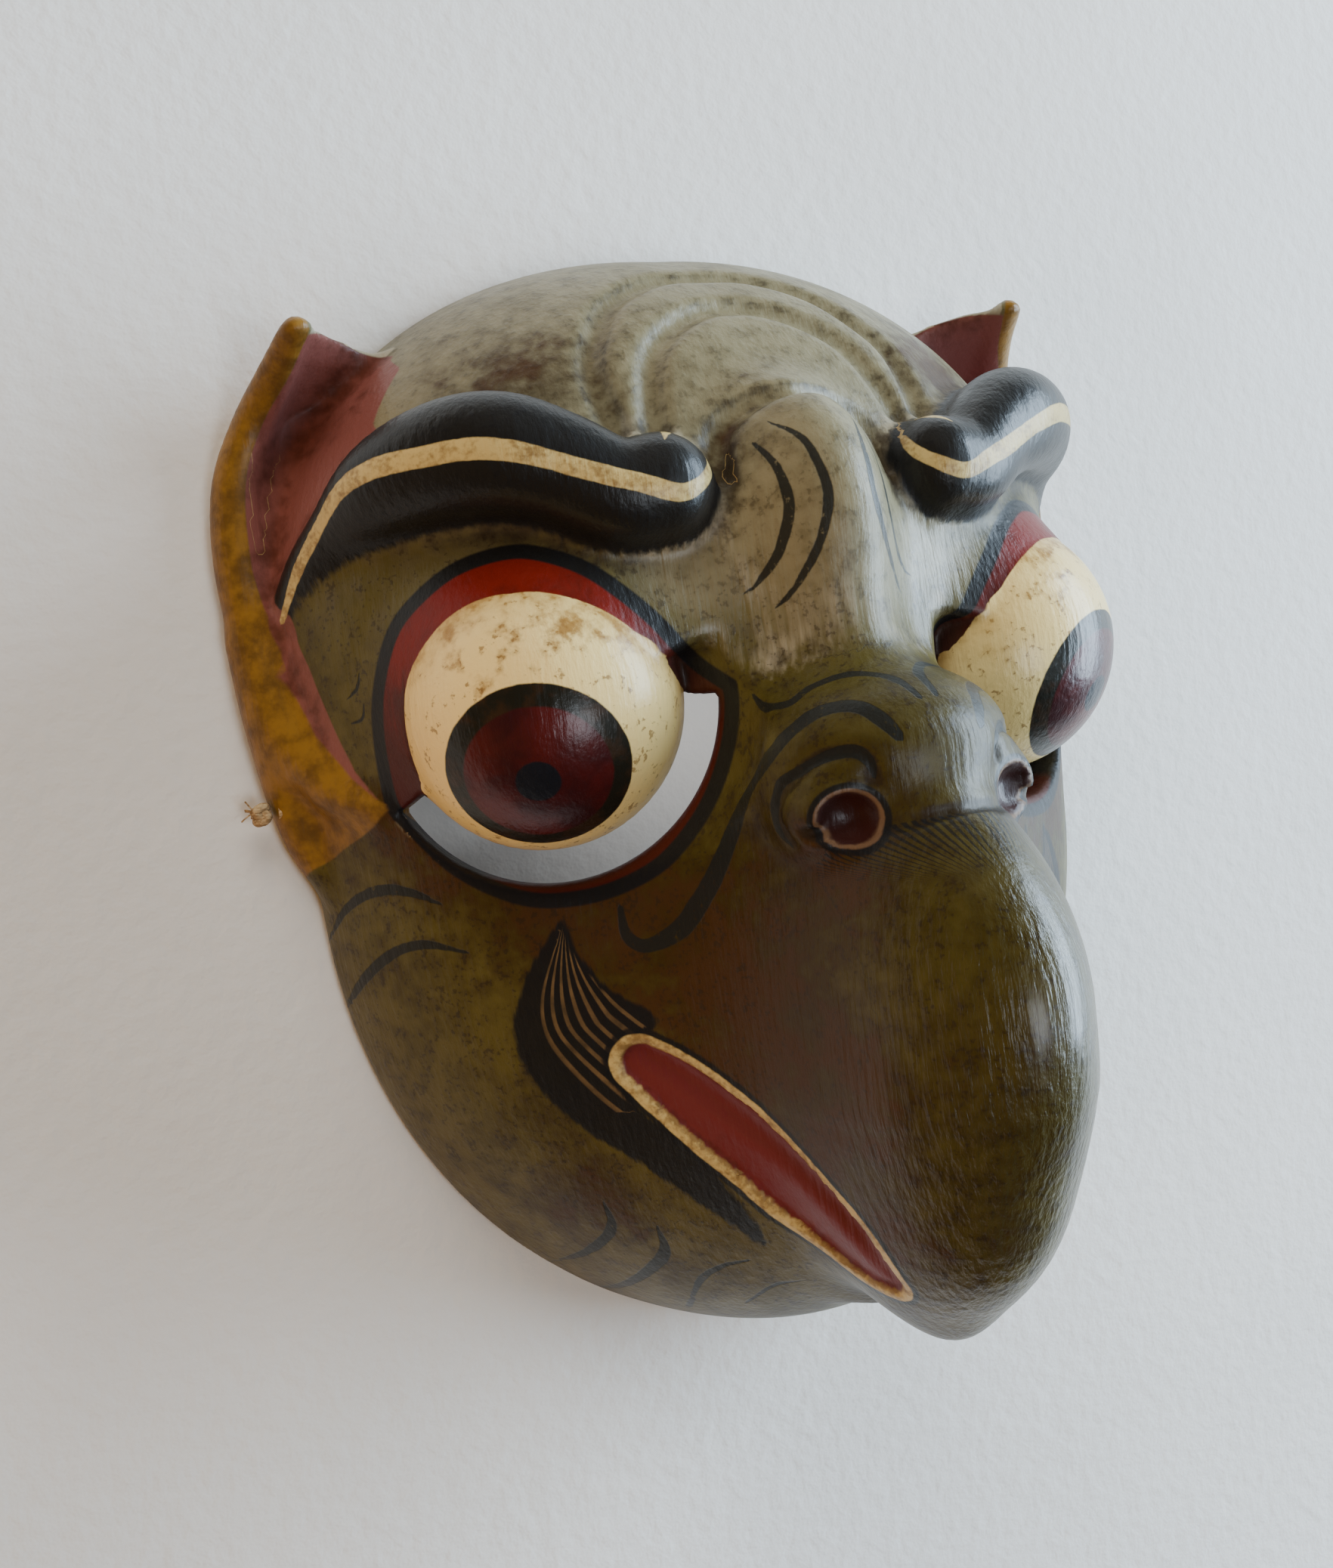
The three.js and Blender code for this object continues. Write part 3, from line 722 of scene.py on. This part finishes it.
eye_plane = to_eye(folded)
eye_outline = rounded(to_eye(np.array(EYE_OUTLINE, float)))
almond = np.where(eye_plane[:, 2] > -26, outline_distance(eye_plane[:, :2], eye_outline), 20)
gaze = (folded - EYE) / np.linalg.norm(folded - EYE, axis=1)[:, None]
iris = np.arccos(np.clip(gaze @ LOOK, -1, 1)) * EYE_RADIUS
turn = np.degrees(np.arctan2(eye_plane[:, 1], eye_plane[:, 0]))
lid_edge = np.interp(turn, *np.array(LID_EDGE, float).T)
tilt = np.arccos(np.clip(eye_plane[:, 2] / np.linalg.norm(eye_plane, axis=1), -1, 1))
on_ball = np.maximum(eyeball(folded) - 0.7, (tilt - np.radians(lid_edge)) * EYE_RADIUS)
leaf = np.where(folded[:, 2] > 10, outline_distance(folded[:, :2], rounded(LEAF_OUTLINE, 4)), 20)
ear_red, ear_band, ear_top = ear_fields(folded)
fields = {
    "almond": almond, "ball": on_ball, "iris": iris, "leaf": leaf,
    "mouth": rod(folded, MOUTH), "brow": rod(folded, BROW),
    "nostril": ellipsoid(folded, *NOSTRIL),
    "ear_red": ear_red, "ear_band": ear_band, "ear_top": ear_top,
}
for name, values in fields.items():
    stored(mask_face, name, np.clip(values, -30, 40))
print("fields:", {k: int((v < 0).sum()) for k, v in fields.items()})

# %% [markdown]
# ## Hair strokes
# Two patches carry fine parallel strokes: a fan below the nose line, and the leaf by the mouth.
# One number that grows across the fan is stored, and the material cuts it into lines.

# %% Fans of fine strokes
def fan_below_nose(p):
    """Across-the-fan number, and how far below the nose line a point lies."""
    across, down = np.array(NOSE_LINE)[::-1, :2].T
    drop = np.interp(p[:, 0], across, down) - p[:, 1]
    gather = 1 - np.clip(drop / 13, 0, 0.98) ** 1.6
    return p[:, 0] / gather, np.where((p[:, 2] > 66) & (p[:, 0] < 19), drop, -5)


LEAF_OUTER = [(49.5, -18, 41, 0), (56, -29, 36, 0), (56.5, -37, 33, 0), (53, -45, 33.5, 0),
              (46.5, -54, 36, 0), (38, -62, 41, 0)]
LEAF_UPPER = [(49.5, -18, 41, 0), (46, -27, 42, 0), (39, -36.5, 46, 0), (34, -40.5, 50, 0)]


def fan_in_leaf(p):
    """0 on the leaf's outer edge and 1 on its upper edge."""
    outer, upper = rod(p, LEAF_OUTER), rod(p, LEAF_UPPER)
    return np.where(p[:, 1] > -52, outer / np.maximum(outer + upper, 0.3), 0)


fan_across, fan_drop = fan_below_nose(folded)
stored(mask_face, "fan_across", fan_across)
stored(mask_face, "fan_drop", np.clip(fan_drop, -5, 30))
stored(mask_face, "leaf_across", fan_in_leaf(folded))

# %% [markdown]
# ## Wear, dirt and painted shade
# Paint wears off where a hand or a cloth meets a ridge, and dark wax stays in the hollows. Both can be
# read from the form itself: a step out from the skin meets other wood sooner in a hollow, and a step in
# leaves the wood sooner at a ridge. The same two measures also lay painted shade in the hollows and
# painted highlight on the ridges. The rubbed and lit, brown, pale and dark places are given, each as a
# soft ball, and so is the web at each eye's inner corner, which gets painted shade.

# %% Measure hollows and ridges, and place the rubbed parts
RUBBED = [
    ((0, 26, 66), 8), ((9, 22, 62), 9), ((19, 33, 55), 8), ((17, 24, 57), 8), ((26, 38, 52), 8),
    ((36, 43, 49), 6), ((0, 66, 58), 6), ((10, 64, 56), 6), ((17, 57, 54), 6), ((20, 46, 56), 6),
    ((22, 56, 52), 5), ((30, 60, 47), 5), ((0, 85, 30), 5), ((14, 80, 34), 5), ((24, 72, 41), 6),
]
BROWNED = [
    ((45, -24, 44), 16), ((28, -30, 58), 18), ((16, -14, 76), 10), ((22, -48, 62), 16),
    ((56, -8, 34), 12), ((68, 0, 22), 12), ((14, -70, 70), 16), ((50, -70, 28), 12), ((12, 52, 50), 7),
    ((40, 70, 34), 14), ((26, -50, 74), 14),
]
PALED = [((0, 92, 20), 38), ((48, 72, 22), 30), ((0, 60, 50), 30), ((0, 34, 60), 12), ((24, 36, 52), 8)]
DEEPENED = [((0, -45, 90), 42), ((0, 0, 76), 22), ((30, -20, 60), 18)]
LID_WEB = [((-29, 5, 5), 6), ((-26, -1, 3), 5)]
COMBED = [
    ((0, -40, 98), 22), ((0, -66, 92), 22), ((12, -50, 92), 18), ((20, 30, 55), 9), ((0, -84, 74), 14),
]


def soft_balls(p, balls):
    total = np.zeros(len(p))
    for centre, size in balls:
        total += np.exp(-np.sum((p - centre) ** 2, 1) / size**2)
    return np.clip(total, 0, 1)


hollow_near, hollow_far = (np.clip(1 - outside(folded + s * facing) / s, 0, 1) for s in (2, 7))
ridge = np.clip(1 + outside(folded - 3 * facing) / 3, 0, 1)
wear_and_shade = {
    "hollow_near": hollow_near, "hollow_far": hollow_far, "ridge": ridge,
    "web": soft_balls(eye_plane, LID_WEB),
}
places = {"rubbed_and_lit": RUBBED, "browned": BROWNED, "paled": PALED, "deepened": DEEPENED, "combed": COMBED}
wear_and_shade |= {name: soft_balls(folded, balls) for name, balls in places.items()}
for name, values in wear_and_shade.items():
    stored(mask_face, name, values)
print("wear:", {k: round(float(v.mean()), 3) for k, v in wear_and_shade.items()})

# %% [markdown]
# ## How a finish is written
# A shader is arithmetic that runs at each point. Wrapping a socket in a small class lets it be
# written as arithmetic, so a line of paint reads as "half width minus distance".

# %% Shader arithmetic
class Shade:
    """A value that a finish works out at every point."""

    def __init__(self, finish, socket):
        self.finish, self.socket = finish, socket

    def math(self, operation, *values):
        return self.finish.node("Math", {"operation": operation}, dict(enumerate(values)))

    def __add__(self, other):
        return self.math("ADD", self, other)

    def __sub__(self, other):
        return self.math("SUBTRACT", self, other)

    def __rsub__(self, other):
        return self.math("SUBTRACT", other, self)

    def __mul__(self, other):
        return self.math("MULTIPLY", self, other)

    __radd__, __rmul__ = __add__, __mul__

    def least(self, other):
        return self.math("MINIMUM", self, other)

    def most(self, other):
        return self.math("MAXIMUM", self, other)

    def size(self):
        return self.math("ABSOLUTE", self)

    def zigzag(self, width):
        return self.math("PINGPONG", self, width)

    def over(self, edge, soft):
        """0 below the edge and 1 above it, with a smooth step as wide as soft."""
        return self.finish.node("MapRange", {"interpolation_type": "SMOOTHSTEP"},
                                {"Value": self - edge, "From Min": -soft / 2, "From Max": soft / 2})

    def under(self, edge, soft):
        return 1 - self.over(edge, soft)


class Finish:
    """A material, made of nodes that are named by type, settings and sockets."""

    def __init__(self, name):
        self.material = bpy.data.materials.new(name)
        self.material.use_nodes = True
        self.tree = self.material.node_tree
        self.surface = self.tree.nodes["Principled BSDF"]

    def feed(self, socket, value):
        if isinstance(value, Shade):
            self.tree.links.new(socket, value.socket)
        elif socket.type == "RGBA":
            socket.default_value = (*value, 1)
        else:
            socket.default_value = value

    def node(self, kind, settings=None, sockets=None, out=0):
        made = self.tree.nodes.new("ShaderNode" + kind)
        for name, value in (settings or {}).items():
            setattr(made, name, value)
        for key, value in (sockets or {}).items():
            self.feed(made.inputs[key], value)
        return Shade(self, made.outputs[out])

    def place(self, stretch=(1, 1, 1)):
        """Where a point lies on the object, stretched for grain."""
        return self.node("Mapping", {}, {"Vector": self.node("TexCoord", out="Object"), "Scale": stretch})

    def noise(self, millimetres, detail, stretch=(1, 1, 1)):
        """Soft random spots of about that size, 0 to 1 with a mean of one half."""
        spots = self.node("TexNoise", {}, {"Vector": self.place(stretch), "Scale": 1000 / millimetres,
                                           "Detail": detail, "Roughness": 0.55})
        return (spots - 0.5) * 1.6 + 0.5

    def stored(self, name):
        return self.node("Attribute", {"attribute_name": name}, out="Fac")

    def mixed(self, below, above, mask):
        return self.node("Mix", {"data_type": "RGBA"}, {0: mask, 6: below, 7: above}, out=2)

    def layered(self, base, layers):
        """Colours laid one over another, each as far as its mask goes."""
        for colour, mask in layers:
            base = self.mixed(base, colour, mask)
        return base

    def apply(self, pieces, bump, depth_mm, **sockets):
        for name, value in sockets.items():
            self.feed(self.surface.inputs[name.replace("_", " ")], value)
        shape = {"Strength": 1, "Distance": depth_mm * MM, "Height": bump}
        self.feed(self.surface.inputs["Normal"], self.node("Bump", {}, shape, out="Normal"))
        for piece in pieces:
            piece.data.materials.append(self.material)
        print(self.material.name, len(self.tree.nodes), "nodes")


# %% [markdown]
# ## Olive ground, wax, rubbing, painted shade and highlight
# The ground is a thin olive green, khaki on the crown and darker on the beak. Brown wax lies in mottles on
# the cheeks. Every groove is darker, as dark wax and as painted shade, and the high places are paler, as
# rubbed paint that shows grey-beige and as painted highlight. Each is a colour under a mask that mixes a
# stored measure with random spots, because wear is never even.

# %% The ground colours of the face
OLIVE, OLIVE_DEEP = (0.086, 0.069, 0.015), (0.048, 0.036, 0.007)
BEAK_OLIVE = (0.038, 0.028, 0.005)
KHAKI, KHAKI_DEEP = (0.21, 0.183, 0.105), (0.12, 0.10, 0.050)
WAX_BROWN, WAX_RED, DARK_WAX_AND_SHADE = (0.028, 0.013, 0.002), (0.055, 0.020, 0.006), (0.022, 0.014, 0.007)
RUBBED_AND_LIT_GREY, BARE_WOOD = (0.34, 0.30, 0.21), (0.42, 0.27, 0.12)

face = Finish("painted_face")
cloud, patch, mottle, speck = (face.noise(*n) for n in ((38, 3), (11, 3), (3.2, 4), (0.9, 2)))
streak = face.noise(1.1, 3, (1, 0.1, 1))
near_hollow, far_hollow, high_ridge = map(face.stored, ("hollow_near", "hollow_far", "ridge"))
paled, browned = face.stored("paled"), face.stored("browned")

khaki = face.mixed(KHAKI, KHAKI_DEEP, (mottle * 0.6 + patch * 0.4).over(0.56, 0.8) * 0.8)
brown = browned * 0.95 + (cloud - 0.5) * 0.5 + (patch - 0.5) * 0.3 + (mottle - 0.5) * 0.8
# Paler on ridges and the listed places: rubbed paint, and painted highlight on the crests.
rub_and_light = face.stored("rubbed_and_lit") * 1.15 + (high_ridge - 0.62) * 1.6
rubbed_and_lit = (rub_and_light + (patch - 0.5) * 0.7 + (streak - 0.5) * 0.6).over(0.62, 0.75)
# Grooves and hollows darken here: dark wax, and painted shade.
wax_and_shade = (near_hollow * 1.8 + far_hollow * 0.5 + (mottle - 0.5) * 0.8).over(0.85, 0.8)
ground = face.layered(OLIVE, [
    (OLIVE_DEEP, (patch * 0.6 + mottle * 0.4).over(0.55, 0.5)),
    (khaki, (paled + (cloud - 0.5) * 0.3 + (mottle - 0.5) * 0.4).over(0.42, 0.8)),
    (BEAK_OLIVE, face.stored("deepened") * (0.75 + (mottle - 0.5) * 0.5)),
    (WAX_BROWN, brown.over(0.5, 1.2) * 0.8),
    (WAX_RED, (browned * 0.5 + patch * 0.8 + mottle * 0.5).over(1.08, 0.35) * 0.6),
    (RUBBED_AND_LIT_GREY, rubbed_and_lit * 0.72),
    (DARK_WAX_AND_SHADE, (speck * 0.7 + mottle * 0.45).over(0.73, 0.16) * (0.62 - paled * 0.34)),
    (DARK_WAX_AND_SHADE, wax_and_shade * 0.8),
])

# %% [markdown]
# ## Black, gold and the fine strokes
# Black ink covers the brows and fades out below them in streaks, and a grey painted sheen lies on their
# crests. A gold line runs along each crest and curls round the knob. Thin ink strokes follow the folds and
# the nose. They taper to nothing at both ends as a brush lifts, and random specks break them where the
# paint is worn.

# %% Brows, strokes and hair
BLACK, INK_BLACK, BROW_SHEEN_GREY = (0.009, 0.009, 0.010), (0.012, 0.013, 0.012), (0.040, 0.044, 0.040)
HAIR = (0.17, 0.105, 0.045)
FAN_PITCH, LEAF_HAIRS = 0.62, 9

brow_edge = face.stored("brow") + (streak - 0.5) * 1.1 + (mottle - 0.5) * 0.6
brow_black = brow_edge.under(1.3, 1.1)
# A grey painted sheen on the crests of the black brows.
brow_sheen = (brow_black * high_ridge.over(0.6, 0.5) * (patch * 0.6 + streak * 0.5)).over(0.55, 0.7)
worn = (speck * 0.55 + streak * 0.45).under(0.72, 0.22)


def laid_line(name):
    """1 where a stored line lies, from its half width and the distance from its middle."""
    inside = face.stored(name + "_half") - face.stored(name + "_off").size()
    return (inside + (mottle - 0.5) * 0.3).over(0, 0.3)


ink = laid_line("ink").most(laid_line("ink_too"))
drop = face.stored("fan_drop")
fan = (0.36 - drop * 0.035 - face.stored("fan_across").zigzag(FAN_PITCH)).over(0, 0.18)
fan = fan * drop.over(0.2, 0.3) * drop.under(8.5, 3)
leaf, across = face.stored("leaf") + (streak - 0.5) * 0.9, face.stored("leaf_across")
hair = (across * LEAF_HAIRS).zigzag(0.5).under(0.17, 0.12) * across.over(0.2, 0.08)
hair = hair * across.under(0.93, 0.06) * leaf.under(-0.8, 0.6)
leaf_black = face.mixed(BLACK, HAIR, hair * (mottle + 0.2).least(1) * 0.8)
inked = face.layered(ground, [
    (BLACK, brow_black * 0.96),
    (BROW_SHEEN_GREY, brow_sheen * 0.6),
    (INK_BLACK, ink * worn * 0.93),
    (BLACK, fan * 0.8),
    (leaf_black, leaf.under(0, 0.7) * 0.95),
])

# %% [markdown]
# ## Eyes, mouth, ears and nostrils
# From the outside in, the eye is a black almond, the red lids and the cream ball with its iris in three
# rings. The mouth is red inside gold inside black. The ear's hollow is a browner red, and its band and rim
# are ochre. Cream and gold carry flecks of old brown varnish. Painted shade darkens the hollows of the
# lids, mouth, ear and gold, the web at each eye's inner corner, and the ball towards its top and edge,
# where varnish flecks and amber glaze also lie.

# %% Fields of colour
LID_RED, LID_DARK, LID_WEB_SHADE = (0.15, 0.009, 0.004), (0.055, 0.007, 0.004), (0.050, 0.018, 0.010)
CREAM, VARNISH_AND_SHADE, VARNISH_DARK = (0.80, 0.60, 0.24), (0.22, 0.105, 0.022), (0.15, 0.065, 0.017)
GLAZE_AND_SHADE = (0.40, 0.225, 0.055)
IRIS_BLACK, IRIS_BROWN = (0.013, 0.012, 0.008), (0.045, 0.020, 0.008)
IRIS_RED, IRIS_DARK, PUPIL_BLACK = (0.075, 0.009, 0.008), (0.030, 0.006, 0.007), (0.010, 0.011, 0.016)
MOUTH_RED, MOUTH_DARK = (0.13, 0.018, 0.019), (0.09, 0.013, 0.011)
EAR_RED, EAR_DARK = (0.19, 0.064, 0.052), (0.080, 0.024, 0.016)
OCHRE, OCHRE_DARK = (0.22, 0.112, 0.017), (0.075, 0.036, 0.008)
GOLD, GOLD_DARK = (0.53, 0.40, 0.155), (0.17, 0.092, 0.026)
NOSTRIL_EDGE, NOSTRIL_DARK = (0.15, 0.085, 0.045), (0.030, 0.009, 0.007)
OUTLINE_WIDE, IRIS_WIDE, IRIS_RED_WIDE, PUPIL_WIDE = 2.5, 15.8, 12.2, 3.6

up = face.node("SeparateXYZ", {}, {0: face.place()}, out=1)
flecks = speck * 0.5 + mottle * 0.5
almond_here, around_iris = face.stored("almond"), face.stored("iris") + (mottle - 0.5) * 0.25
# The lid darkens in its web at the inner corner, as painted shade, and in its hollows, as dark wax and
# painted shade.
lid = face.layered(LID_DARK, [
    (LID_RED, ((up - 0.022) * 30 + patch * 0.8 + streak * 0.3).over(0.75, 0.7)),
    (LID_WEB_SHADE, face.stored("web").over(0.4, 0.5) * 0.8),
    (DARK_WAX_AND_SHADE, (near_hollow * 1.2 + (mottle - 0.5)).over(0.9, 0.7) * 0.5),
])
# The ball browns towards its top and in hollows: varnish flecks laid where painted shade falls.
dirt_and_shade = (up - 0.026) * 30 + (mottle - 0.5) * 1.3 + (patch - 0.5) * 1.2 + near_hollow * 0.8
far_from_iris = (around_iris - 21).least(16).most(0) * 0.0625
# Amber towards the ball's edge and by the lids: glaze, and painted shade.
glaze_and_shade = far_from_iris + (mottle - 0.5) * 0.5 + (patch - 0.5) * 0.6 + near_hollow * 0.3
ball = face.layered(CREAM, [
    (VARNISH_AND_SHADE, dirt_and_shade.over(0.45, 0.7) * flecks.over(0.41, 0.3) * 0.9),
    (VARNISH_DARK, flecks.over(0.66, 0.12) * 0.65),
    (GLAZE_AND_SHADE, glaze_and_shade.over(0.62, 0.9) * 0.85),
    (face.mixed(IRIS_BLACK, IRIS_BROWN, (mottle + patch).over(1.1, 0.4) * 0.5),
     around_iris.under(IRIS_WIDE, 0.35)),
    (face.mixed(IRIS_RED, IRIS_DARK, patch.over(0.5, 0.5)), around_iris.under(IRIS_RED_WIDE, 0.5)),
    (PUPIL_BLACK, around_iris.under(PUPIL_WIDE, 0.4)),
])
on_ball, in_ear = face.stored("ball").under(0, 0.3), face.stored("ear_red").over(0, 0.5)
mouth_here, nostril_here = face.stored("mouth"), face.stored("nostril")
# Gold darkens in flecks and, as painted shade, in hollows.
gold = face.mixed(GOLD, GOLD_DARK, (flecks * 0.7 + patch * 0.3 + near_hollow * 0.4).over(0.58, 0.35) * 0.8)
# The mouth's red darkens in the groove, as painted shade, and in random patches.
red_mouth = face.mixed(MOUTH_RED, MOUTH_DARK, (near_hollow + (mottle - 0.5) * 0.9).over(0.6, 0.6))
# The ear's red darkens in random stains and, as painted shade, in its hollow.
ear_stain_and_shade = (patch * 0.7 + near_hollow * 0.8 + (mottle - 0.5) * 0.5).over(0.6, 0.5)
ochre = face.mixed(OCHRE, OCHRE_DARK, (mottle * 0.5 + patch * 0.4 + flecks * 0.3).over(0.62, 0.5) * 0.8)
chipped = ((high_ridge - 0.7) * 2 + (speck - 0.5) * 1.2 + (mottle - 0.5)).over(0.75, 0.2)
painted = face.layered(inked, [
    (BLACK, almond_here.under(0, 0.5) * 0.97),
    (lid, (almond_here + OUTLINE_WIDE).under(0, 0.45)),
    (ball, on_ball),
    (BLACK, (mouth_here + (streak - 0.5) * 0.6).under(2.9, 0.6) * 0.92),
    (gold, (mouth_here + (mottle - 0.5) * 0.3).under(1.85, 0.4) * 0.97),
    (red_mouth, mouth_here.under(-0.1, 0.4)),
    (face.mixed(EAR_RED, EAR_DARK, ear_stain_and_shade), in_ear),
    (ochre, face.stored("ear_band").over(0, 0.5)),
    (RUBBED_AND_LIT_GREY, face.stored("ear_top").over(0, 0.5) * 0.8),
    (BLACK, nostril_here.under(1.7, 0.4) * 0.9),
    (NOSTRIL_EDGE, nostril_here.under(0.75, 0.3) * 0.8),
    (NOSTRIL_DARK, nostril_here.under(0.25, 0.3)),
    (gold, laid_line("gold").most(laid_line("tear")) * 0.98),
    (BARE_WOOD, chipped * (1 - on_ball) * (1 - in_ear) * 0.4),
])

# %% [markdown]
# ## Surface of the face
# Wax makes the paint satin: the ball and the black are smoother, the rubbed places duller. The
# bump is fine brush and grain marks that run down the face, deeper on the front of the beak.

# %% Sheen and relief of the face
combed = face.stored("combed")
rough = 0.42 + (patch - 0.5) * 0.14 + rubbed_and_lit * 0.06 + wax_and_shade * 0.1
rough = rough - on_ball * 0.10 - brow_black * 0.06 - combed * 0.06
relief = streak * (combed * 0.9 + 0.35) + mottle * 0.3 + speck * 0.12 - ink * 0.15
face.apply([mask_face], relief, 0.28, Base_Color=painted, Roughness=rough,
           Coat_Weight=0.03 + on_ball * 0.15 + combed * 0.35,
           Coat_Roughness=0.22, IOR=1.42, Specular_IOR_Level=0.4)

# %% [markdown]
# ## Bare wood inside
# The hollow is as the gouge left it: light wood, darkened by hands, with long shallow cuts side
# by side, which a stretched Voronoi pattern gives.

# %% Gouged wood
WOOD, WOOD_BROWN, WOOD_STAIN = (0.30, 0.175, 0.075), (0.17, 0.088, 0.034), (0.075, 0.042, 0.020)
CUTS_A_METRE = 130
gouged = Finish("gouged_wood")
grain, ring = gouged.noise(1.4, 4, (1, 0.06, 1)), gouged.noise(9, 3, (1, 0.15, 1))
bare = gouged.layered(WOOD, [
    (WOOD_BROWN, (grain * 0.5 + ring * 0.6).over(0.58, 0.4)),
    (WOOD_STAIN, (gouged.noise(30, 3) * 0.8 + ring * 0.3).over(0.62, 0.5) * 0.7),
])
cell_space = {"Vector": gouged.place((1, 0.34, 1)), "Scale": CUTS_A_METRE, "Smoothness": 0.15}
cuts = gouged.node("TexVoronoi", {"feature": "SMOOTH_F1"}, cell_space, out="Distance")
gouged.apply([mask_hollow], cuts * cuts * 2 + grain * 0.12, 1.1, Base_Color=bare,
             Roughness=0.62 + (grain - 0.5) * 0.2, IOR=1.48)

# %% [markdown]
# ## Twine
# Undyed plant fibre is straw-coloured and dull. Fibres run along each strand, so the random
# spots are drawn out thin.

# %% Fibre
STRAW, STRAW_DARK = (0.50, 0.36, 0.19), (0.22, 0.13, 0.055)
fibre = Finish("plant_fibre")
hair = fibre.noise(0.35, 3, (0.25, 1, 1))
straw = fibre.mixed(STRAW, STRAW_DARK, (hair * 0.7 + fibre.noise(6, 2) * 0.5).over(0.6, 0.5))
fibre.apply([twine, *knots.values()], hair, 0.15, Base_Color=straw,
            Roughness=0.86 + (hair - 0.5) * 0.1, IOR=1.45)

# %% [markdown]
# ## Floor and light
# The mask lies on a plain pale floor. One large cool lamp stands to the right, as a window does,
# a warm one fills the shade on the left, and weak ones above and in front round off the crown
# and the beak. Those that only fill make no highlight, so black paint stays black. The last one
# hangs inside the hollow and lights the floor that shows through the crescents.

# %% Floor, world and lamps
floor_mesh = bpy.data.meshes.new("floor")
R = 3  # metres from the middle to each side
floor_mesh.from_pydata([(-R, -R, 0), (R, -R, 0), (R, R, 0), (-R, R, 0)], [], [(0, 1, 2, 3)])
floor = bpy.data.objects.new("floor", floor_mesh)
bpy.context.scene.collection.objects.link(floor)
WHITE, OFF_WHITE = (0.74, 0.72, 0.68), (0.68, 0.66, 0.62)
plaster = Finish("pale_floor")
tone = plaster.noise(60, 3)
plaster.apply([floor], plaster.noise(4, 3), 0.25, Base_Color=plaster.mixed(WHITE, OFF_WHITE, tone),
              Roughness=0.85 + (tone - 0.5) * 0.05)

world = bpy.data.worlds.new("studio")
world.use_nodes = True
haze = world.node_tree.nodes["Background"].inputs
haze["Color"].default_value, haze["Strength"].default_value = (1, 0.95, 0.88, 1), 0.06
world.cycles_visibility.glossy = False
bpy.context.scene.world = world


def lamp(name, at, size, power, colour, aim=(0, 0, 0.04), glossy=True):
    data = bpy.data.lights.new(name, "AREA")
    data.shape = "RECTANGLE"
    data.size, data.size_y, data.energy, data.color = *size, power, colour
    light = bpy.data.objects.new(name, data)
    light.location = at
    light.visible_glossy = glossy
    light.rotation_euler = (Vector(aim) - Vector(at)).to_track_quat("-Z", "Y").to_euler()
    bpy.context.scene.collection.objects.link(light)


lamp("window", (1.0, 0.1, 0.45), (1.2, 0.5), 45, (0.64, 0.82, 1))
lamp("sky", (-0.15, 0.95, 0.6), (0.8, 0.5), 10, (1, 0.96, 0.90), glossy=False)
lamp("front", (0.12, -0.35, 1.25), (0.4, 0.5), 6, (0.84, 0.92, 1))
lamp("bounce", (-0.9, -0.35, 0.45), (0.7, 0.7), 5, (1, 0.52, 0.14), glossy=False)
lamp("under_mask", (0, 0.02, 0.03), (0.05, 0.05), 0.013, (0.95, 0.97, 1), (0, 0.02, 0))
